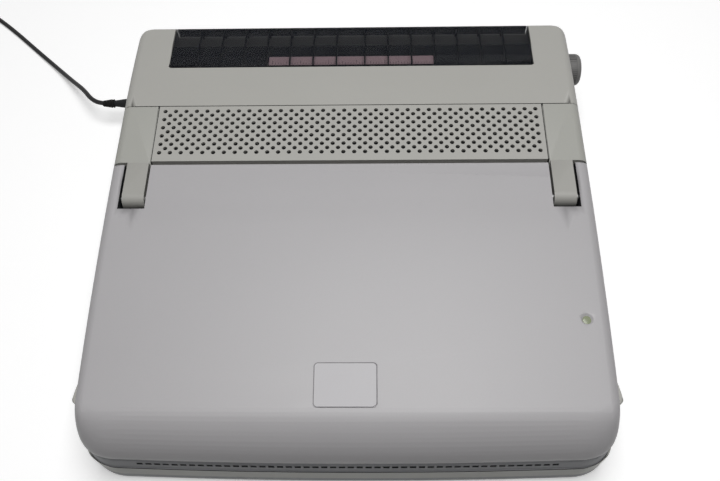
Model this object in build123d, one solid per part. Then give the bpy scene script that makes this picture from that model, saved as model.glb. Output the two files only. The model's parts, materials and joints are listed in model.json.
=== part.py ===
from build123d import *
import math
import os

os.makedirs("parts", exist_ok=True)

# All sizes are in millimetres. X runs across the machine, Y from front to rear, Z up from the table.
# The body is drawn about its own centre plane and is shifted in X only when it is written out.

# Overall body
body_width = 390.0
body_depth = 392.0
body_height = 95.0
foot_height = 3.0
case_split = 14.0
seam_height = 38.0
crease_height = 52.0
wall = 2.5
front_corner = 24.0
rear_corner = 14.0
edge_round = 8.0
base_set_back = 2.5
bottom_edge = 3.0

# Clearances
panel_gap = 0.8
seam_gap = 0.4
fit = 0.1
run_gap = 0.3
bore_gap = 0.05

# Lid and its hinge line
skirt_flare = 6.0
crown_drop = 14.0
front_round = 31.0
hinge_from_front = 206.0
hinge_drop = 8.0
hinge_pin_radius = 2.5
swing_radius = 29.0
swing_gap = 1.3
slope_start = 50.0
arm_inner = 164.0
arm_outer = 181.7
arm_gap = 2.0
notch_reach = 13.7
notch_floor = 12.3
lid_split = 18.0

# Rear of the machine
grille_set_back = 1.2
grille_depth = 56.6
grille_half_width = 163.0
grille_thick = 2.2
hole_radius = 1.55
hole_pitch = 8.97
hole_row_pitch = 4.29
hole_rows = 11
holes_in_long_row = 36
hole_sides = 4
rear_drop = 5.5
rear_round = 7.0
window_half_width = 161.2
window_depth = 53.8
window_sill = 77.0

half = body_width / 2
front_y = -body_depth / 2
rear_y = body_depth / 2
crease_y = front_y + skirt_flare
hinge_y = front_y + hinge_from_front
hinge_z = body_height - hinge_drop
well_radius = swing_radius + swing_gap
tower_front = hinge_y + well_radius
grille_front = tower_front + grille_set_back
grille_rear = grille_front + grille_depth
module_front = grille_rear + panel_gap
window_front = rear_y - window_depth
deck_under = seam_height - wall
floor_top = foot_height + wall

# What stands out of the sides sets how far the body sits from the middle of the whole.
knob_reach = 14.0
latch_reach = 3.0
side_shift = -(knob_reach - latch_reach) / 2


def save(name, *solids):
    """Write one named piece, moved sideways into the machine's own frame."""
    moved = [solid.moved(Location((side_shift, 0, 0))) for solid in solids]
    shape = moved[0] if len(moved) == 1 else Compound(moved)
    shape.label = name
    export_step(shape, f"parts/{name}.step")


def block(x0, x1, y0, y1, z0, z1):
    return Pos((x0 + x1) / 2, (y0 + y1) / 2, (z0 + z1) / 2) * Box(x1 - x0, y1 - y0, z1 - z0)


def rod_x(radius, x0, x1, y, z):
    start = (Align.CENTER, Align.CENTER, Align.MIN)
    return Pos(x0, y, z) * Rot(0, 90, 0) * Cylinder(radius, x1 - x0, align=start)


def rod_y(radius, x, y0, y1, z):
    start = (Align.CENTER, Align.CENTER, Align.MIN)
    return Pos(x, y0, z) * Rot(-90, 0, 0) * Cylinder(radius, y1 - y0, align=start)


def rod_z(radius, x, y, z0, z1):
    start = (Align.CENTER, Align.CENTER, Align.MIN)
    return Pos(x, y, z0) * Cylinder(radius, z1 - z0, align=start)


def side_sweep(face, x0, x1):
    """A side outline, drawn as (y, z), swept across the machine from x0 to x1."""
    return extrude(Plane.YZ.offset(x0) * face, amount=x1 - x0)


def plan(inset, y0, y1, r0, r1):
    """The rounded outline of the body seen from above, drawn in by inset."""
    width = body_width - 2 * inset
    face = Pos(0, (y0 + y1) / 2) * Rectangle(width, y1 - y0)
    front = face.vertices().group_by(Axis.Y)[0]
    if r0 > 0:
        face = fillet(front, r0)
    rear = face.vertices().group_by(Axis.Y)[-1]
    if r1 > 0:
        face = fillet(rear, r1)
    return face


def crown_fall(reach, full_reach, full_drop):
    """How far a crowned top has fallen at a distance from its level edge."""
    radius = (full_reach**2 + full_drop**2) / (2 * full_drop)
    return radius - math.sqrt(radius**2 - reach**2)


def crowned_outline(level_y, end_y, end_drop, nose, low_z, inset, drawn_in=0.0, drop=0.0):
    """Side outline of a moulded top: level at one end, crowned down to the other, its nose rounded."""
    toward = 1 if end_y > level_y else -1
    full_reach = abs(end_y - level_y)
    top = body_height - inset - drop
    reach = full_reach - inset - drawn_in
    middle = (level_y + toward * reach / 2, top - crown_fall(reach / 2, full_reach, end_drop))
    end_top = (level_y + toward * reach, top - crown_fall(reach, full_reach, end_drop))
    outline = [
        Line((level_y, low_z), (level_y, top)),
        ThreePointArc((level_y, top), middle, end_top),
        Line(end_top, (end_top[0], low_z)),
        Line((end_top[0], low_z), (level_y, low_z)),
    ]
    face = make_face(outline)
    nose_point = face.vertices().sort_by_distance((end_top[0], end_top[1], 0))[0]
    return fillet(nose_point, nose - inset)


def crowned_form(level_y, end_y, end_drop, corner, nose, low_z, inset):
    """A moulded top whose long edges and plan corners are rounded too: side outlines are lofted
    round each corner, the nose tightening as it turns into the side."""
    width = half - inset
    corner_radius = corner - inset
    edge_radius = edge_round - inset
    corner_x = width - corner_radius
    edge_x = width - edge_radius

    def section(x):
        drawn_in = corner_radius - math.sqrt(max(0.0, corner_radius**2 - (x - corner_x) ** 2))
        past_edge = max(0.0, x - edge_x)
        drop = edge_radius - math.sqrt(max(0.0, edge_radius**2 - past_edge**2))
        tightened = inset + (nose - inset) * (1 - 0.55 * drawn_in / corner_radius)
        face = crowned_outline(level_y, end_y, end_drop, tightened, low_z, inset, drawn_in, drop)
        return Plane.YZ.offset(x) * face

    edge_turn = math.asin((edge_x - corner_x) / corner_radius)
    corner_steps = [corner_x + corner_radius * math.sin(edge_turn * step / 3) for step in range(4)]
    edge_steps = [edge_x + edge_radius * math.sin(math.radians(18 * step)) for step in range(6)]
    end_part = loft([section(x) for x in corner_steps]) + loft([section(x) for x in edge_steps])
    middle_face = crowned_outline(level_y, end_y, end_drop, nose, low_z, inset)
    return side_sweep(middle_face, -corner_x, corner_x) + end_part + mirror(end_part, about=Plane.YZ)


def lid_space(seam_z, radius):
    """The side outline of the room the lid turns in: over the seam, up a slope behind the keys
    and round the hinge line."""
    start_y = hinge_y - slope_start
    away = math.hypot(hinge_y - start_y, hinge_z - seam_z)
    rise = math.atan2(hinge_z - seam_z, hinge_y - start_y) - math.asin(radius / away)
    run = math.sqrt(away**2 - radius**2)
    touch = (start_y + run * math.cos(rise), seam_z + run * math.sin(rise))
    above = body_height + 30
    ahead = front_y - 30
    outline = Polyline(
        (ahead, seam_z),
        (start_y, seam_z),
        touch,
        (hinge_y, hinge_z),
        (hinge_y, above),
        (ahead, above),
        close=True,
    )
    return make_face(outline) + Pos(hinge_y, hinge_z) * Circle(radius)


def lid_room(seam_z, radius):
    return side_sweep(lid_space(seam_z, radius), -half - 20, half + 20)


def lid_top_at(y):
    """Height of the lid's crowned top at a distance along it."""
    level = hinge_y + swing_radius
    return body_height - crown_fall(level - y, level - crease_y, crown_drop)


def lid_form(inset):
    return crowned_form(
        hinge_y + swing_radius, crease_y, crown_drop, front_corner, front_round, crease_height, inset
    )


# ---------------------------------------------------------------- lid
# The shell has a crowned top, a rear edge rounded about the hinge line and a pocket for each arm.
rib = 2.0
split_y = hinge_y - lid_split
lid_rear = hinge_y + swing_radius
notch_inner = arm_inner - arm_gap
notch_outer = arm_outer + arm_gap
notch_front = hinge_y - notch_reach
notch_low = hinge_z - notch_floor
lid_seam = seam_height + seam_gap


def rear_fill(inset):
    return block(-half + inset, half - inset, split_y, lid_rear, seam_height, crease_height + 1)


shell_outer = (lid_form(0) + rear_fill(0)) & lid_room(lid_seam, swing_radius)
shell_inner = (lid_form(wall) + rear_fill(wall)) & lid_room(lid_seam + wall, swing_radius - wall)
lid_shell = shell_outer - shell_inner - block(-half, half, front_y, split_y, 0, crease_height)

led_x = 176.9
led_y = front_y + 98.1
led_radius = 2.5
led_recess_radius = 4.8
led_recess_depth = 1.8
led_top = lid_top_at(led_y)
badge_width = 45.6
badge_length = 32.4
badge_from_front = 49.7
badge_thick = 1.0
badge_round = 3.0
badge_gap = 0.3
latch_y = front_y + 47.5
latch_length = 18.0
latch_z = 72.0
latch_height = 9.0
latch_travel = 5.0
latch_neck = 7.0
latch_leg_inner = 182.5
latch_leg_thick = 3.0
latch_tip = 33.5

for side in (-1, 1):
    x0, x1 = sorted((side * (notch_inner - rib), side * (notch_outer + rib)))
    pocket = block(x0, x1, notch_front - rib, lid_rear, notch_low - rib, body_height)
    lid_shell += pocket & shell_outer
for side in (-1, 1):
    x0, x1 = sorted((side * notch_inner, side * notch_outer))
    lid_shell -= block(x0, x1, notch_front, lid_rear + 1, notch_low, body_height + 1)
    x0, x1 = sorted((side * (notch_inner - rib - 1), side * (notch_outer + rib + 1)))
    lid_shell -= rod_x(hinge_pin_radius + bore_gap, x0, x1, hinge_y, hinge_z)
    neck_front = latch_y - latch_neck / 2 - run_gap
    neck_rear = latch_y + latch_neck / 2 + latch_travel + run_gap
    x0, x1 = sorted((side * (half - 2 * wall), side * (half + 1)))
    lid_shell -= block(x0, x1, neck_front, neck_rear, latch_z - 2.5, latch_z + 2.5)

led_spread = (led_recess_radius - led_radius) / led_recess_depth
led_recess = Polyline(
    (0, -2 * wall),
    (led_radius + fit, -2 * wall),
    (led_radius + fit, -led_recess_depth),
    (led_recess_radius + 2 * led_spread, 2),
    (0, 2),
    close=True,
)
lid_shell -= Pos(led_x, led_y, led_top) * revolve(Plane.XZ * make_face(led_recess), Axis.Z)

badge_y = front_y + badge_from_front
badge_slope = math.degrees(math.atan((lid_top_at(badge_y + 1) - lid_top_at(badge_y - 1)) / 2))
badge_place = Pos(0, badge_y, lid_top_at(badge_y)) * Rot(badge_slope, 0, 0)


def badge_slab(grow, low, high):
    face = RectangleRounded(badge_width + 2 * grow, badge_length + 2 * grow, badge_round + grow)
    return badge_place * Pos(0, 0, low) * extrude(face, amount=high - low)


lid_shell -= badge_slab(badge_gap, -badge_thick, 3)
save("lid_shell", lid_shell)
save("badge_plate", badge_slab(0, -badge_thick, 0.1))

# The bezel is the lid's inner moulding: skirt with its row of vents, display face and key cavity.
lip = 2.0
face_low = 58.0
face_high = face_low + lip
tray_inset = wall + 1.7
cavity_inset = tray_inset + lip
cavity_rear = hinge_y - slope_start - 8.0
screen_half_width = 122.0
screen_front = front_y + 34.0
screen_rear = front_y + 132.0
slot_count = 48
slot_pitch = 6.5
slot_length = 4.6
slot_height = 2.4
slot_low = 45.5

seam_outline = plan(0, front_y, split_y, front_corner, 0)
crease_outline = plan(0, crease_y, split_y, front_corner, 0)
skirt = loft([Pos(0, 0, lid_seam) * seam_outline, Pos(0, 0, crease_height) * crease_outline])
tray = plan(tray_inset, crease_y + tray_inset, split_y, front_corner - tray_inset, 0)
tray = Pos(0, 0, lid_seam) * extrude(tray, amount=face_high - lid_seam)
tray_hollow = block(
    -half + cavity_inset,
    half - cavity_inset,
    cavity_rear + lip,
    split_y + 1,
    lid_seam,
    face_high + 1,
)
cavity = Pos(0, (crease_y + cavity_inset + cavity_rear) / 2, lid_seam - 1) * extrude(
    RectangleRounded(
        2 * (half - cavity_inset), cavity_rear - crease_y - cavity_inset, front_corner - cavity_inset
    ),
    amount=face_low - lid_seam + 1,
)
lid_bezel = (skirt + tray) & lid_room(lid_seam, swing_radius)
lid_bezel -= tray_hollow & lid_room(lid_seam + lip, swing_radius - lip)
lid_bezel -= cavity
lid_bezel -= block(
    -screen_half_width, screen_half_width, screen_front, screen_rear, face_low - 1, face_high + 1
)
slot_places = [(index - (slot_count - 1) / 2) * slot_pitch for index in range(slot_count)]
slot_high = slot_low + slot_height
lid_bezel -= [
    block(x - slot_length / 2, x + slot_length / 2, front_y - 1, crease_y + 8, slot_low, slot_high)
    for x in slot_places
]

wheel_x = 150.0
wheel_y = front_y + 85.0
wheel_radius = 8.0
wheel_shaft = 2.5
wheel_low = 54.0
lid_bezel -= rod_z(wheel_shaft + bore_gap, wheel_x, wheel_y, face_low - 1, face_high + 1)
for side in (-1, 1):
    x0, x1 = sorted(
        (side * (latch_leg_inner - run_gap), side * (latch_leg_inner + latch_leg_thick + run_gap))
    )
    lid_bezel -= block(x0, x1, neck_front, neck_rear, face_low - 1, face_high + 1)
save("lid_bezel", lid_bezel)

# Display panel, seated on the bezel's face.
panel_grow = 8.0
panel_thick = 4.0
panel_seat = face_high + fit
save(
    "display_panel",
    block(
        -screen_half_width - panel_grow,
        screen_half_width + panel_grow,
        screen_front - panel_grow,
        screen_rear + panel_grow,
        panel_seat,
        panel_seat + panel_thick,
    ),
)

# Charging lamp, clipped under the shell by its flange.
led_flange = 3.4
led = rod_z(led_radius, led_x, led_y, led_top - 8, led_top - 0.9)
led += rod_z(led_flange, led_x, led_y, led_top - wall - 2.2, led_top - wall - 0.9)
led = chamfer(led.edges().group_by(Axis.Z)[-1], 0.9)
save("charge_lamp", led)

# Contrast wheel on the display face.
wheel = rod_z(wheel_radius, wheel_x, wheel_y, wheel_low, face_low - run_gap)
wheel = chamfer(wheel.edges().group_by(Axis.Z)[0], 0.8)
for index in range(12):
    turn = Pos(wheel_x, wheel_y) * Rot(0, 0, 30 * index) * Pos(wheel_radius, 0, wheel_low + 1.5)
    wheel -= turn * Box(1.2, 1.2, 5)
wheel += rod_z(wheel_shaft, wheel_x, wheel_y, face_low - run_gap, face_high + 2.5)
save("contrast_wheel", wheel)

# Hinge pins, held in the walls of the lid's pockets, and the fixed arms they turn in.
pins = [
    rod_x(
        hinge_pin_radius,
        min(side * (notch_inner - rib), side * (notch_outer + rib)),
        max(side * (notch_inner - rib), side * (notch_outer + rib)),
        hinge_y,
        hinge_z,
    )
    for side in (-1, 1)
]
save("hinge_pins", *pins)

tail_inset = 4.0
tail_low = hinge_z - 5.0
tail_high = hinge_z + 5.0
tail_reach = 16.0
arm_outline = Pos(hinge_y, hinge_z) * Circle(hinge_drop) + make_face(
    Polyline(
        (hinge_y, hinge_z - hinge_drop),
        (tower_front - fit, hinge_z - hinge_drop),
        (tower_front - fit, body_height),
        (hinge_y, body_height),
        close=True,
    )
)
for side, name in ((-1, "hinge_arm_left"), (1, "hinge_arm_right")):
    x0, x1 = sorted((side * arm_inner, side * arm_outer))
    arm = side_sweep(arm_outline, x0, x1)
    arm += block(
        x0 + tail_inset, x1 - tail_inset, tower_front - 1, tower_front + tail_reach, tail_low, tail_high
    )
    arm -= rod_x(hinge_pin_radius + bore_gap, x0 - 1, x1 + 1, hinge_y, hinge_z)
    save(name, arm)

def latch_outline(side):
    """A finger pad seen from above: a low wedge that swells towards the front and ends in a short curve."""
    foot = side * (half + run_gap)
    crest = side * (half + latch_reach)
    swell = side * (half + 0.7 * latch_reach)
    rear_end = (foot, latch_y + latch_length / 2)
    front_end = (foot, latch_y - latch_length / 2)
    brow = (crest, latch_y - latch_length / 4)
    outline = ThreePointArc(rear_end, (swell, latch_y + latch_length / 12), brow)
    outline += ThreePointArc(brow, (swell + side * 0.4, latch_y - 0.42 * latch_length), front_end)
    outline += Line(front_end, rear_end)
    return make_face(outline)


# Sliding lid latches: finger pad outside, leg reaching down into the deck.
for side, name in ((-1, "latch_left"), (1, "latch_right")):
    pad_low = latch_z - latch_height / 2
    pad = extrude(Pos(0, 0, pad_low) * latch_outline(side), amount=latch_height)
    x0, x1 = sorted((side * (latch_leg_inner + latch_leg_thick), side * (half + run_gap)))
    neck = block(x0, x1, latch_y - latch_neck / 2, latch_y + latch_neck / 2, latch_z - 2, latch_z + 2)
    x0, x1 = sorted((side * latch_leg_inner, side * (latch_leg_inner + latch_leg_thick)))
    leg = block(x0, x1, latch_y - latch_neck / 2, latch_y + latch_neck / 2, latch_tip, latch_z + 2)
    save(name, pad + neck + leg)

# ---------------------------------------------------------------- base, front part
base_front = front_y + base_set_back
screw_radius = 1.45
boss_radius = 5.5
boss_sunk = 1.0
screw_from_front = 30.0
screw_behind_tower = 30.0
screw_from_rear = 62.0
screw_x = half - wall - boss_radius + boss_sunk
screw_rows = (front_y + screw_from_front, tower_front + screw_behind_tower, rear_y - screw_from_rear)
screw_places = [(side * screw_x, y) for side in (-1, 1) for y in screw_rows]
key_open_half = 173.0
key_open_front = front_y + 18.0
key_open_rear = front_y + 134.0
flange_height = 9.0


def rounded_bar(inset):
    """The body's full-length bar with its two long top edges rounded."""
    bar = block(
        -half + inset, half - inset, front_y - 10, rear_y + 10, -10, body_height - inset
    )
    return fillet(bar.edges().filter_by(Axis.Y).group_by(Axis.Z)[-1], edge_round - inset)


def base_blank(inset):
    outline = plan(inset, base_front + inset, grille_rear, front_corner - inset, 0)
    return Pos(0, 0, case_split) * extrude(outline, amount=body_height) & rounded_bar(inset)


top_case = base_blank(0) - lid_room(seam_height, well_radius)
top_case -= block(-half - 1, half + 1, hinge_y, tower_front, hinge_z, body_height + 1)
top_case -= base_blank(wall) - lid_room(deck_under, well_radius + wall)

# The grille rests on a ledge along each tower and on the lowered front wall between them.
grille_low = body_height - grille_thick
tower_inner = grille_half_width + panel_gap
tower_wall_low = body_height - 26.0
flange_low = body_height - flange_height
top_case -= block(-tower_inner, tower_inner, tower_front - 1, grille_rear + 1, flange_low, body_height + 1)
for side in (-1, 1):
    x0, x1 = sorted((side * tower_inner, side * (tower_inner + lip)))
    top_case += block(x0, x1, tower_front, grille_rear, tower_wall_low, body_height)
    x0, x1 = sorted((side * (grille_half_width - 3), side * (tower_inner + lip)))
    top_case += block(x0, x1, tower_front + wall + 1, grille_rear, grille_low - fit - lip, grille_low - fit)
    x0, x1 = sorted((side * arm_inner, side * arm_outer))
    top_case -= block(x0 - fit, x1 + fit, hinge_y, tower_front, hinge_z - hinge_drop - fit, hinge_z + 1)
    x0, x1 = sorted((side * (arm_inner + tail_inset), side * (arm_outer - tail_inset)))
    top_case -= block(
        x0 - fit, x1 + fit, tower_front - 1, tower_front + wall + 1, tail_low - fit, tail_high + fit
    )
    x0, x1 = sorted(
        (side * (latch_leg_inner - 1), side * (latch_leg_inner + latch_leg_thick + 1))
    )
    top_case -= block(x0, x1, latch_y - 9, latch_y + 11, deck_under - 1, seam_height + 1)
key_opening = Pos(0, (key_open_front + key_open_rear) / 2, deck_under - 1) * extrude(
    RectangleRounded(2 * key_open_half, key_open_rear - key_open_front, 4), amount=2 * wall
)
top_case -= key_opening

drive_front = hinge_y - 62.0
drive_rear = drive_front + 96.0
drive_low = case_split + 1.0
drive_high = drive_low + 18.0
drive_back = half - wall - 130.0
top_case -= block(
    half - 2 * wall,
    half + 1,
    drive_front - run_gap,
    drive_rear + run_gap,
    drive_low - run_gap,
    drive_high + run_gap,
)
for x, y in screw_places:
    if y < grille_rear:
        post = rod_z(boss_radius, x, y, case_split, deck_under + 1)
        top_case += post - rod_z(screw_radius + fit, x, y, case_split - 1, case_split + 11)
save("base_top_case", top_case)

# Grille panel with its staggered holes and a turned-down front edge.
plate = block(-grille_half_width, grille_half_width, grille_front, grille_rear, grille_low, body_height)
plate += block(
    -grille_half_width,
    grille_half_width,
    grille_front,
    grille_front + grille_thick,
    flange_low + fit,
    body_height,
)
middle_y = (grille_front + grille_rear) / 2 + 1.7
centres = []
for row in range(hole_rows):
    count = holes_in_long_row - row % 2
    y = middle_y + (row - (hole_rows - 1) / 2) * hole_row_pitch
    centres += [((index - (count - 1) / 2) * hole_pitch, y) for index in range(count)]
hole = RegularPolygon(hole_radius, hole_sides)
holes = Sketch() + [Pos(x, y) * hole for x, y in centres]
plate -= Pos(0, 0, grille_low - 1) * extrude(holes, amount=grille_thick + 2)
save("grille_panel", plate)

# ---------------------------------------------------------------- printer housing
platen_y = rear_y - 33.0
platen_z = 63.0
platen_radius = 8.0
shaft_radius = 3.0
knob_radius = 14.3
jack_y = rear_y - 36.5
jack_z = 24.0
jack_radius = 5.5
switch_y = module_front + 20.0
switch_z = 40.0
switch_length = 7.0
switch_travel = 4.0
switch_half_height = 2.5
cover_gap = 1.0
cover_thick = 2.2
knuckle_radius = 3.2
cover_pin_radius = 1.5
cover_pin_reach = 3.5


def module_outline(inset):
    return crowned_outline(module_front, rear_y, rear_drop, rear_round, case_split - 1, inset)


def module_form(inset, start_y, low_z):
    return crowned_form(start_y, rear_y, rear_drop, rear_corner, rear_round, low_z, inset)


pivot_y = window_front + cover_gap + knuckle_radius
pivot_z = (
    body_height
    - crown_fall(pivot_y - module_front, rear_y - module_front, rear_drop)
    - knuckle_radius
)
housing_outer = module_form(0, module_front, case_split)
housing = housing_outer - module_form(wall, module_front + wall, case_split - 1)
housing -= block(-140, 140, module_front - 1, module_front + wall + 1, case_split - 1, window_sill)
window = block(
    -window_half_width, window_half_width, window_front, rear_y + 1, window_sill, body_height + 1
)
window = fillet(window.edges().filter_by(Axis.Z).group_by(Axis.Y)[0], 3)
housing -= window
for side in (-1, 1):
    x0, x1 = sorted((side * window_half_width, side * (window_half_width + cover_pin_reach + 2)))
    ear = block(x0, x1, pivot_y - 4, pivot_y + 4, pivot_z - 4, body_height) & housing_outer
    x0, x1 = sorted((side * (window_half_width - 1), side * (window_half_width + cover_pin_reach)))
    housing += ear
    housing -= rod_x(cover_pin_radius + bore_gap, x0, x1, pivot_y, pivot_z)
housing -= rod_x(shaft_radius + 1, half - 2 * wall, half + 1, platen_y, platen_z)
housing -= rod_x(jack_radius + fit, -half - 1, -half + 2 * wall, jack_y, jack_z)
housing -= block(
    half - 2 * wall,
    half + 1,
    switch_y - switch_length / 2 - run_gap,
    switch_y + switch_length / 2 + switch_travel + run_gap,
    switch_z - switch_half_height - run_gap,
    switch_z + switch_half_height + run_gap,
)
for x, y in screw_places:
    if y > grille_rear:
        post = rod_z(boss_radius, x, y, case_split, case_split + 18)
        housing += post - rod_z(screw_radius + fit, x, y, case_split - 1, case_split + 11)
save("printer_housing", housing)

# Smoked printer cover: hinged along its front edge, ribbed underneath, a pull tab at the rear.
cover_half_width = window_half_width - cover_gap
rib_count_side = 7
rib_first = 12.7
rib_pitch = 20.8
rib_thick = 1.2
rib_depth = 3.0
tab_half_width = 11.0
tab_reach = 1.5
cover_low = window_sill + cover_gap


def cover_sheet(depth, x0, x1):
    sheet = side_sweep(module_outline(0), x0, x1) - side_sweep(module_outline(depth), x0 - 1, x1 + 1)
    return sheet & block(x0, x1, pivot_y, rear_y + 1, cover_low, body_height + 1)


cover = cover_sheet(cover_thick, -cover_half_width, cover_half_width)
cover += rod_x(knuckle_radius, -cover_half_width, cover_half_width, pivot_y, pivot_z)
for index in range(rib_count_side):
    for side in (-1, 1):
        x = side * (rib_first + index * rib_pitch)
        cover += cover_sheet(cover_thick + rib_depth, x - rib_thick / 2, x + rib_thick / 2)
tab_high = cover_low + 3
cover += block(
    -tab_half_width, tab_half_width, rear_y - cover_thick, rear_y + tab_reach, cover_low, tab_high
)
for side in (-1, 1):
    x0, x1 = sorted(
        (side * (cover_half_width - 1), side * (window_half_width + cover_pin_reach - run_gap))
    )
    cover += rod_x(cover_pin_radius, x0, x1, pivot_y, pivot_z)
save("printer_cover", cover)

# ---------------------------------------------------------------- bottom case
battery_front = hinge_y - 62.0
battery_length = 56.0
battery_width = 124.0
battery_x = -108.0
battery_high = 30.0
hatch_grow = 3.0
hatch_thick = 2.0
board_low = case_split
board_thick = 1.6
board_half_width = 168.0
board_front = base_front + 9.0
board_rear = drive_front - 6.0
power_front = tower_front + 6.0
power_rear = grille_rear - 6.0
power_half_width = 150.0
frame_half_width = 166.0
frame_front = module_front + 8.0
frame_rear = rear_y - 8.0
frame_low = 8.0
frame_thick = 1.5
foot_radius = 8.0
foot_sunk = 1.2
foot_in = 30.0
foot_places = [(sx * (half - foot_in), sy * (rear_y - foot_in)) for sx in (-1, 1) for sy in (-1, 1)]
post_radius = 3.0

outline = plan(0, base_front, rear_y, front_corner, 0)
outline = fillet(outline.vertices().group_by(Axis.Y)[-1], rear_corner)
bottom = Pos(0, 0, foot_height) * extrude(outline, amount=case_split - foot_height)
bottom = chamfer(bottom.edges().group_by(Axis.Z)[0], bottom_edge)
hollow = plan(wall, base_front + wall, rear_y - wall, front_corner - wall, rear_corner - wall)
bottom -= Pos(0, 0, floor_top) * extrude(hollow, amount=case_split)
for x in (-60.0, 60.0):
    bottom += block(x - rib / 2, x + rib / 2, base_front + wall, board_rear, floor_top - 1, board_low - 2)
supports = [
    (sx * (board_half_width - 8), y, board_low)
    for sx in (-1, 1)
    for y in (board_front + 12, board_rear - 8)
]
supports += [
    (sx * (power_half_width - 8), y, board_low) for sx in (-1, 1) for y in (power_front + 6, power_rear - 6)
]
supports += [
    (sx * (frame_half_width - 12), y, frame_low)
    for sx in (-1, 1)
    for y in (frame_front + 8, frame_rear - 8)
]
supports += [
    (x, y, drive_low)
    for x in (drive_back + 10, half - wall - 14)
    for y in (drive_front + 10, drive_rear - 10)
]
for x, y, top in supports:
    bottom += rod_z(post_radius, x, y, floor_top - 1, top)
for x, y in screw_places:
    bottom += rod_z(boss_radius, x, y, foot_height, case_split)
    bottom -= rod_z(2 * screw_radius + 0.3, x, y, foot_height - 1, foot_height + 4)
    bottom -= rod_z(screw_radius + fit, x, y, foot_height, case_split + 1)
for x, y in foot_places:
    bottom -= rod_z(foot_radius + fit, x, y, foot_height - 1, foot_height + foot_sunk)
battery_x0 = battery_x - battery_width / 2
battery_x1 = battery_x + battery_width / 2
battery_rear = battery_front + battery_length
bottom -= block(battery_x0, battery_x1, battery_front, battery_rear, foot_height - 1, floor_top + 1)
bottom -= block(
    battery_x0 - hatch_grow,
    battery_x1 + hatch_grow,
    battery_front - hatch_grow,
    battery_rear + hatch_grow,
    foot_height - 1,
    foot_height + hatch_thick / 2,
)
save("base_bottom_case", bottom)

hatch = block(
    battery_x0 - hatch_grow + panel_gap,
    battery_x1 + hatch_grow - panel_gap,
    battery_front - hatch_grow + panel_gap,
    battery_rear + hatch_grow - panel_gap,
    foot_height,
    foot_height + hatch_thick / 2 - fit,
)
hatch += block(
    battery_x0 + panel_gap,
    battery_x1 - panel_gap,
    battery_front + panel_gap,
    battery_rear - panel_gap,
    foot_height,
    floor_top,
)
for index in range(4):
    y = battery_rear - 8 - 4 * index
    hatch -= block(battery_x - 14, battery_x + 14, y, y + 2, foot_height - 1, foot_height + 0.6)
save("battery_hatch", hatch)

# Battery pack: six round cells side by side in a shrink sleeve.
cell_radius = 11.0
cell_length = 50.0
cells = 5
cell_front = battery_front + 3
pack = None
for index in range(cells):
    x = battery_x + (index - (cells - 1) / 2) * 2 * cell_radius
    cell = rod_y(cell_radius, x, cell_front, cell_front + cell_length, floor_top + fit + cell_radius)
    pack = cell if pack is None else pack + cell
reach = (cells - 1) * cell_radius
pack += block(
    battery_x - reach,
    battery_x + reach,
    cell_front,
    cell_front + cell_length,
    floor_top + fit + 2,
    floor_top + fit + 2 * cell_radius - 2,
)
save("battery_pack", pack)

feet = []
for x, y in foot_places:
    foot = rod_z(foot_radius, x, y, 0, foot_height + foot_sunk)
    feet.append(chamfer(foot.edges().group_by(Axis.Z)[0], 1.0))
save("rubber_feet", *feet)
screws = []
for x, y in screw_places:
    head = rod_z(2 * screw_radius, x, y, foot_height + 2, foot_height + 4)
    screws.append(head + rod_z(screw_radius, x, y, foot_height + 4, case_split + 9))
save("case_screws", *screws)

# ---------------------------------------------------------------- keyboard
key_pitch = 19.0
key_size = 17.4
key_top_size = 13.0
key_low = 39.5
key_high = 49.0
key_travel = 3.0
key_rows = 5
keys_in_row = 18
key_field_front = key_open_front + 3.0
carrier_low = 34.5
carrier_high = 36.0
frame_plate_low = 28.0
frame_plate_high = 31.0
guide_half = 3.0
space_keys = 6

rim = 3.0
key_frame = block(
    -key_open_half - rim,
    key_open_half + rim,
    key_open_front - rim,
    key_open_rear + rim,
    frame_plate_low,
    deck_under - fit,
)
key_frame -= block(
    -key_open_half, key_open_half, key_open_front, key_open_rear, frame_plate_high, deck_under + 1
)


def key_cap(x, y, width, depth):
    foot = Pos(x, y, key_low) * Rectangle(width - (key_pitch - key_size), depth)
    lean = math.degrees(math.atan((key_size - key_top_size) / 2 / (key_high - key_low)))
    return extrude(foot, amount=key_high - key_low, taper=lean)


def key_group(x_start, y, widths, depth=key_size):
    """Caps side by side on the carrier that moves them, and the two guide posts into the frame."""
    x_end = x_start + sum(widths)
    group = block(x_start + 3, x_end - 3, y - 5, y + 5, carrier_low, carrier_high)
    x = x_start
    for width in widths:
        middle = x + width / 2
        group += block(middle - 3, middle + 3, y - 3, y + 3, carrier_high, key_low)
        group += key_cap(middle, y, width, depth)
        x += width
    for x in guide_places(x_start, x_end):
        group += block(
            x - guide_half, x + guide_half, y - guide_half, y + guide_half, frame_plate_low, carrier_low
        )
    return group


def guide_places(x_start, x_end):
    inset = min(30.0, (x_end - x_start) / 4)
    return (x_start + inset, x_end - inset)


field_start = -keys_in_row * key_pitch / 2
field_end = -field_start
space_start = field_start + 5 * key_pitch
space_end = space_start + space_keys * key_pitch
row_y = [key_field_front + (row + 0.5) * key_pitch for row in range(key_rows)]
function_y = row_y[-1] + key_pitch - 1.0
function_depth = 11.0
row_groups = [
    [(field_start, [key_pitch] * 5), (space_end, [key_pitch] * 7)],
    [(field_start, [2.25 * key_pitch] + [key_pitch] * 13 + [2.75 * key_pitch])],
    [(field_start, [1.75 * key_pitch] + [key_pitch] * 14 + [2.25 * key_pitch])],
    [(field_start, [1.5 * key_pitch] + [key_pitch] * 15 + [1.5 * key_pitch])],
    [(field_start, [key_pitch] * keys_in_row)],
]
function_groups = [(field_start, [1.5 * key_pitch] * 12)]
space_group = [(space_start, [space_keys * key_pitch])]
placed_groups = [(groups, y) for groups, y in zip(row_groups, row_y)]
placed_groups += [(function_groups, function_y), (space_group, row_y[0])]
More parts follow.
